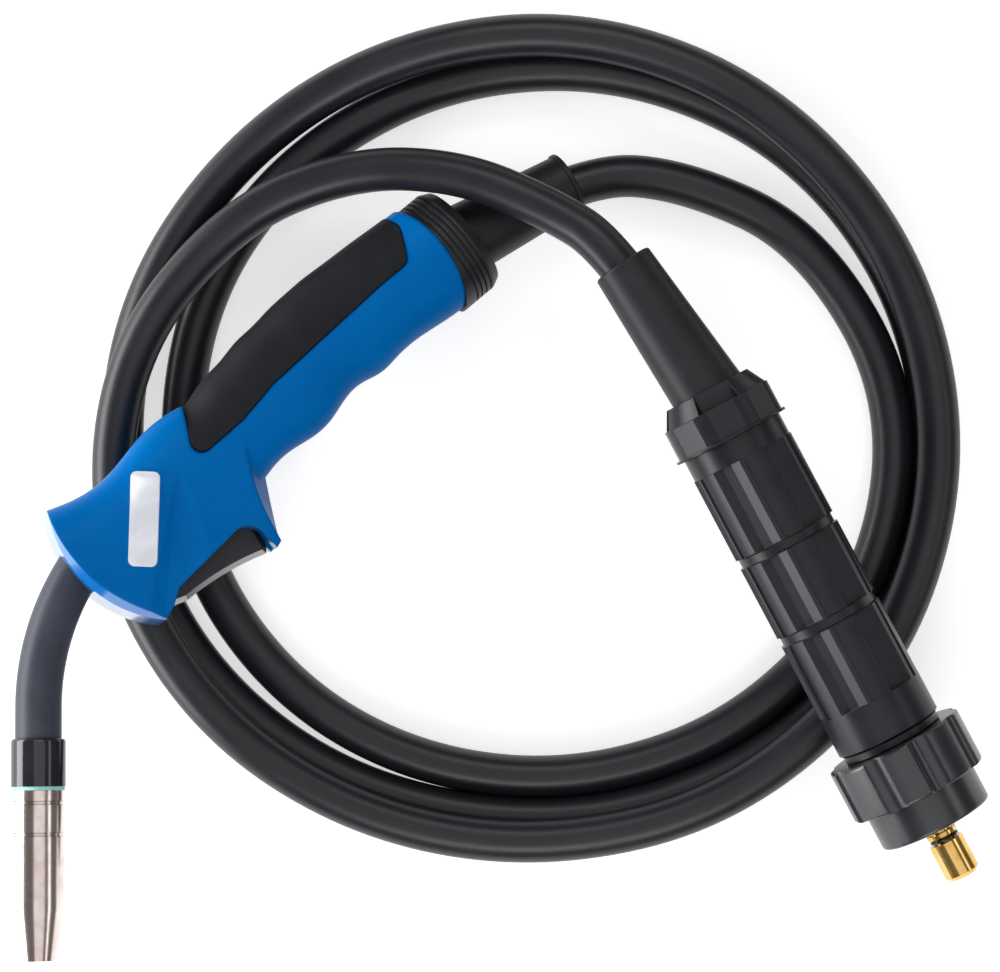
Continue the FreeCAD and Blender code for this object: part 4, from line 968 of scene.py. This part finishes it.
@dataclass
class HeadPlate:
    """The bare silver plate that is stuck on the handle's head.

    The handle's own base and turn place the plate's middle and slant. The proud share
    of its thickness stands out of the shell.
    """

    handle_base: Triple = (0.0497, 0.1030, 0.019593)
    handle_turn: Triple = (-2.5, -12.0, -139.65)
    middle: Triple = (0.1434, 0.005475, 0.030)
    slant: float = 47.7
    length: float = 0.0313
    width: float = 0.0095
    corner: float = 0.0021
    corner_steps: int = 7
    step: float = 0.0005
    evening: float = 0.5
    evening_rounds: int = 96
    thickness: float = 0.0007
    proud: float = 0.85
    rim: float = 0.00012
    rim_steps: int = 2
    rim_angle: float = 50.0
    smooth_angle: float = 35.0

    def pose(self) -> Matrix:
        """Gives the plate's place over the head, its length along X.

        Returns:
            The pose in the world.
        """
        turns = [math.radians(part) for part in self.handle_turn]
        turn = Euler(turns).to_matrix().to_4x4()
        handle = Matrix.Translation(self.handle_base) @ turn
        slant = Matrix.Rotation(math.radians(self.slant), 4, "Z")
        return handle @ Matrix.Translation(self.middle) @ slant

    def cut_out(self, pose: Matrix) -> bpy.types.Object:
        """Makes the flat plate with round corners, cut across for bending.

        Args:
            pose: The plate's place.

        Returns:
            The flat plate.
        """
        bpy.ops.object.select_all(action="DESELECT")
        bpy.ops.mesh.primitive_plane_add(
            size=1.0, location=pose.to_translation(), rotation=pose.to_euler()
        )
        plate = bpy.context.object
        plate.name = "head_plate"
        plate.scale = (self.length, self.width, 1.0)
        bpy.ops.object.transform_apply(location=False, rotation=False, scale=True)
        bpy.ops.object.mode_set(mode="EDIT")
        bpy.ops.mesh.select_all(action="SELECT")
        bpy.ops.mesh.bevel(
            offset=self.corner, segments=self.corner_steps, affect="VERTICES"
        )
        for axis, reach in ((0, self.length), (1, self.width)):
            along = pose.to_3x3().col[axis].normalized()
            for count in range(1, int(reach / self.step)):
                place = pose.to_translation() + along * (count * self.step - reach / 2)
                bpy.ops.mesh.select_all(action="SELECT")
                bpy.ops.mesh.bisect(plane_co=place, plane_no=along)
        bpy.ops.object.mode_set(mode="OBJECT")
        return plate

    def bend(self, plate: bpy.types.Object, shell: bpy.types.Object) -> None:
        """Bends the flat plate on the shell and gives it its thickness and rim.

        Args:
            plate: The flat plate.
            shell: The shell that carries it.
        """
        follow = plate.modifiers.new("follow", "SHRINKWRAP")
        follow.target = shell
        follow.wrap_method = "PROJECT"
        follow.use_project_z = True
        follow.use_negative_direction = True
        follow.use_positive_direction = False
        even = plate.modifiers.new("even", "SMOOTH")
        even.factor = self.evening
        even.iterations = self.evening_rounds
        even.use_x = False
        even.use_y = False
        sheet = plate.modifiers.new("sheet", "SOLIDIFY")
        sheet.thickness = self.thickness
        sheet.offset = 2 * self.proud - 1
        rounding = plate.modifiers.new("rounding", "BEVEL")
        rounding.width = self.rim
        rounding.segments = self.rim_steps
        rounding.limit_method = "ANGLE"
        rounding.angle_limit = math.radians(self.rim_angle)
        for name in ("follow", "even", "sheet", "rounding"):
            bpy.ops.object.modifier_apply(modifier=name)
        bpy.ops.object.transform_apply(location=True, rotation=True, scale=True)
        bpy.ops.object.shade_smooth_by_angle(angle=math.radians(self.smooth_angle))

    def build(self, shell: bpy.types.Object, finishes: Finishes) -> None:
        """Makes the plate on the shell and dresses it.

        Args:
            shell: The shell that carries it.
            finishes: The made finishes.
        """
        plate = self.cut_out(self.pose())
        self.bend(plate, shell)
        plate.data.materials.append(finishes.made[Finish.SILVER_FOIL])
        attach(plate, Body.TORCH.value)
        LOG.info("stuck on the plate")


@dataclass(frozen=True)
class Lamp:
    """An oblong soft lamp. Its place is taken from the torch's middle."""

    name: str
    place: Triple
    sides: Pair
    watts: float


@dataclass
class Studio:
    """The pale floor, the soft lamps and the camera over the torch."""

    middle: Triple = (0.065, 0.0205, 0.0)
    eye_height: float = 1.1
    sight: float = 50.0
    # The camera's lens and sensor are in millimetres
    lens: float = 114.84
    sensor: float = 36.0
    floor_side: float = 8.0
    floor_shade: float = 0.70
    floor_lift: float = 0.62
    floor_roughness: float = 0.9
    sky: float = 0.13
    lamps: tuple[Lamp, ...] = (
        Lamp("top_lamp", (0.20, 0.0, 1.5), (1.7, 1.3), 5.4),
        Lamp("right_strip", (1.05, 0.0, 0.85), (1.6, 0.25), 2.0),
        Lamp("front_lamp", (0.05, -1.10, 1.15), (1.0, 0.5), 8.6),
        Lamp("back_lamp", (0.05, 1.15, 1.15), (1.0, 0.4), 4.4),
        Lamp("left_wall", (-0.90, -0.05, 0.24), (1.4, 0.42), 15.0),
    )

    def set_camera(self) -> None:
        """Hangs the camera straight above the torch."""
        data = bpy.data.cameras.new("overhead")
        data.sensor_fit = "HORIZONTAL"
        data.sensor_width = self.sensor
        data.lens = self.lens
        data.clip_end = self.sight
        camera = bpy.data.objects.new("overhead", data)
        camera.location = (self.middle[0], self.middle[1], self.eye_height)
        bpy.context.scene.collection.objects.link(camera)
        bpy.context.scene.camera = camera
        LOG.info("hung the camera at %.2f m", self.eye_height)

    def lay_floor(self) -> None:
        """Lays the floor, which looks white and keeps the torch's shadow."""
        bpy.ops.mesh.primitive_plane_add(size=self.floor_side, location=self.middle)
        floor = bpy.context.object
        floor.name = "studio_floor"
        sheet = NodeSheet("studio_floor")
        rays = sheet.node("ShaderNodeLightPath", {}, {})
        seen = Signal(sheet, rays.outputs["Is Camera Ray"])
        seen = seen + Signal(sheet, rays.outputs["Is Glossy Ray"])
        seen = seen + Signal(sheet, rays.outputs["Is Transmission Ray"])
        lift = sheet.blend(seen, BLACK, (self.floor_lift,) * 3)
        sheet.set(Base_Color=(self.floor_shade,) * 3, Roughness=self.floor_roughness)
        sheet.set(Specular_IOR_Level=0.0, Emission_Color=lift, Emission_Strength=1.0)
        floor.data.materials.append(sheet.material)
        LOG.info("laid the floor")

    def hang(self, plan: Lamp) -> None:
        """Hangs a lamp that faces the torch.

        Args:
            plan: The lamp's place, sides and power.
        """
        data = bpy.data.lights.new(plan.name, "AREA")
        data.shape = "RECTANGLE"
        data.size, data.size_y = plan.sides
        data.energy = plan.watts
        lamp = bpy.data.objects.new(plan.name, data)
        turn = (-Vector(plan.place)).to_track_quat("-Z", "Y").to_matrix().to_4x4()
        spot = Vector(self.middle) + Vector(plan.place)
        lamp.matrix_world = Matrix.Translation(spot) @ turn
        bpy.context.scene.collection.objects.link(lamp)
        LOG.info("hung the lamp %s", plan.name)

    def set_sky(self) -> None:
        """Sets the room's even light."""
        world = bpy.data.worlds.new("studio_sky")
        bpy.context.scene.world = world
        world.use_nodes = True
        backdrop = world.node_tree.nodes["Background"]
        backdrop.inputs["Color"].default_value = (self.sky, self.sky, self.sky, 1.0)
        LOG.info("set the sky")

    def build(self) -> None:
        """Sets up the whole studio."""
        self.set_camera()
        self.lay_floor()
        for plan in self.lamps:
            self.hang(plan)
        self.set_sky()
        bpy.context.scene.view_settings.view_transform = "Standard"


def main() -> None:
    """Builds the scene in order: studio, cable, dressed nodes, then the plate."""
    logging.basicConfig(level=logging.INFO, format="%(name)s: %(message)s")
    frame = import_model()
    bpy.ops.object.select_all(action="DESELECT")
    Studio().build()
    finishes = Finishes()
    finishes.make_all()
    CoaxialCable().build(finishes)
    nodes = frame["nodes"]
    for assembly in (TorchHandle(), SwanNeck(), CentralPlug()):
        assembly.dress(nodes, finishes)
    HeadPlate().build(nodes["handle_shell_upper"], finishes)


if __name__ == "__main__":
    main()
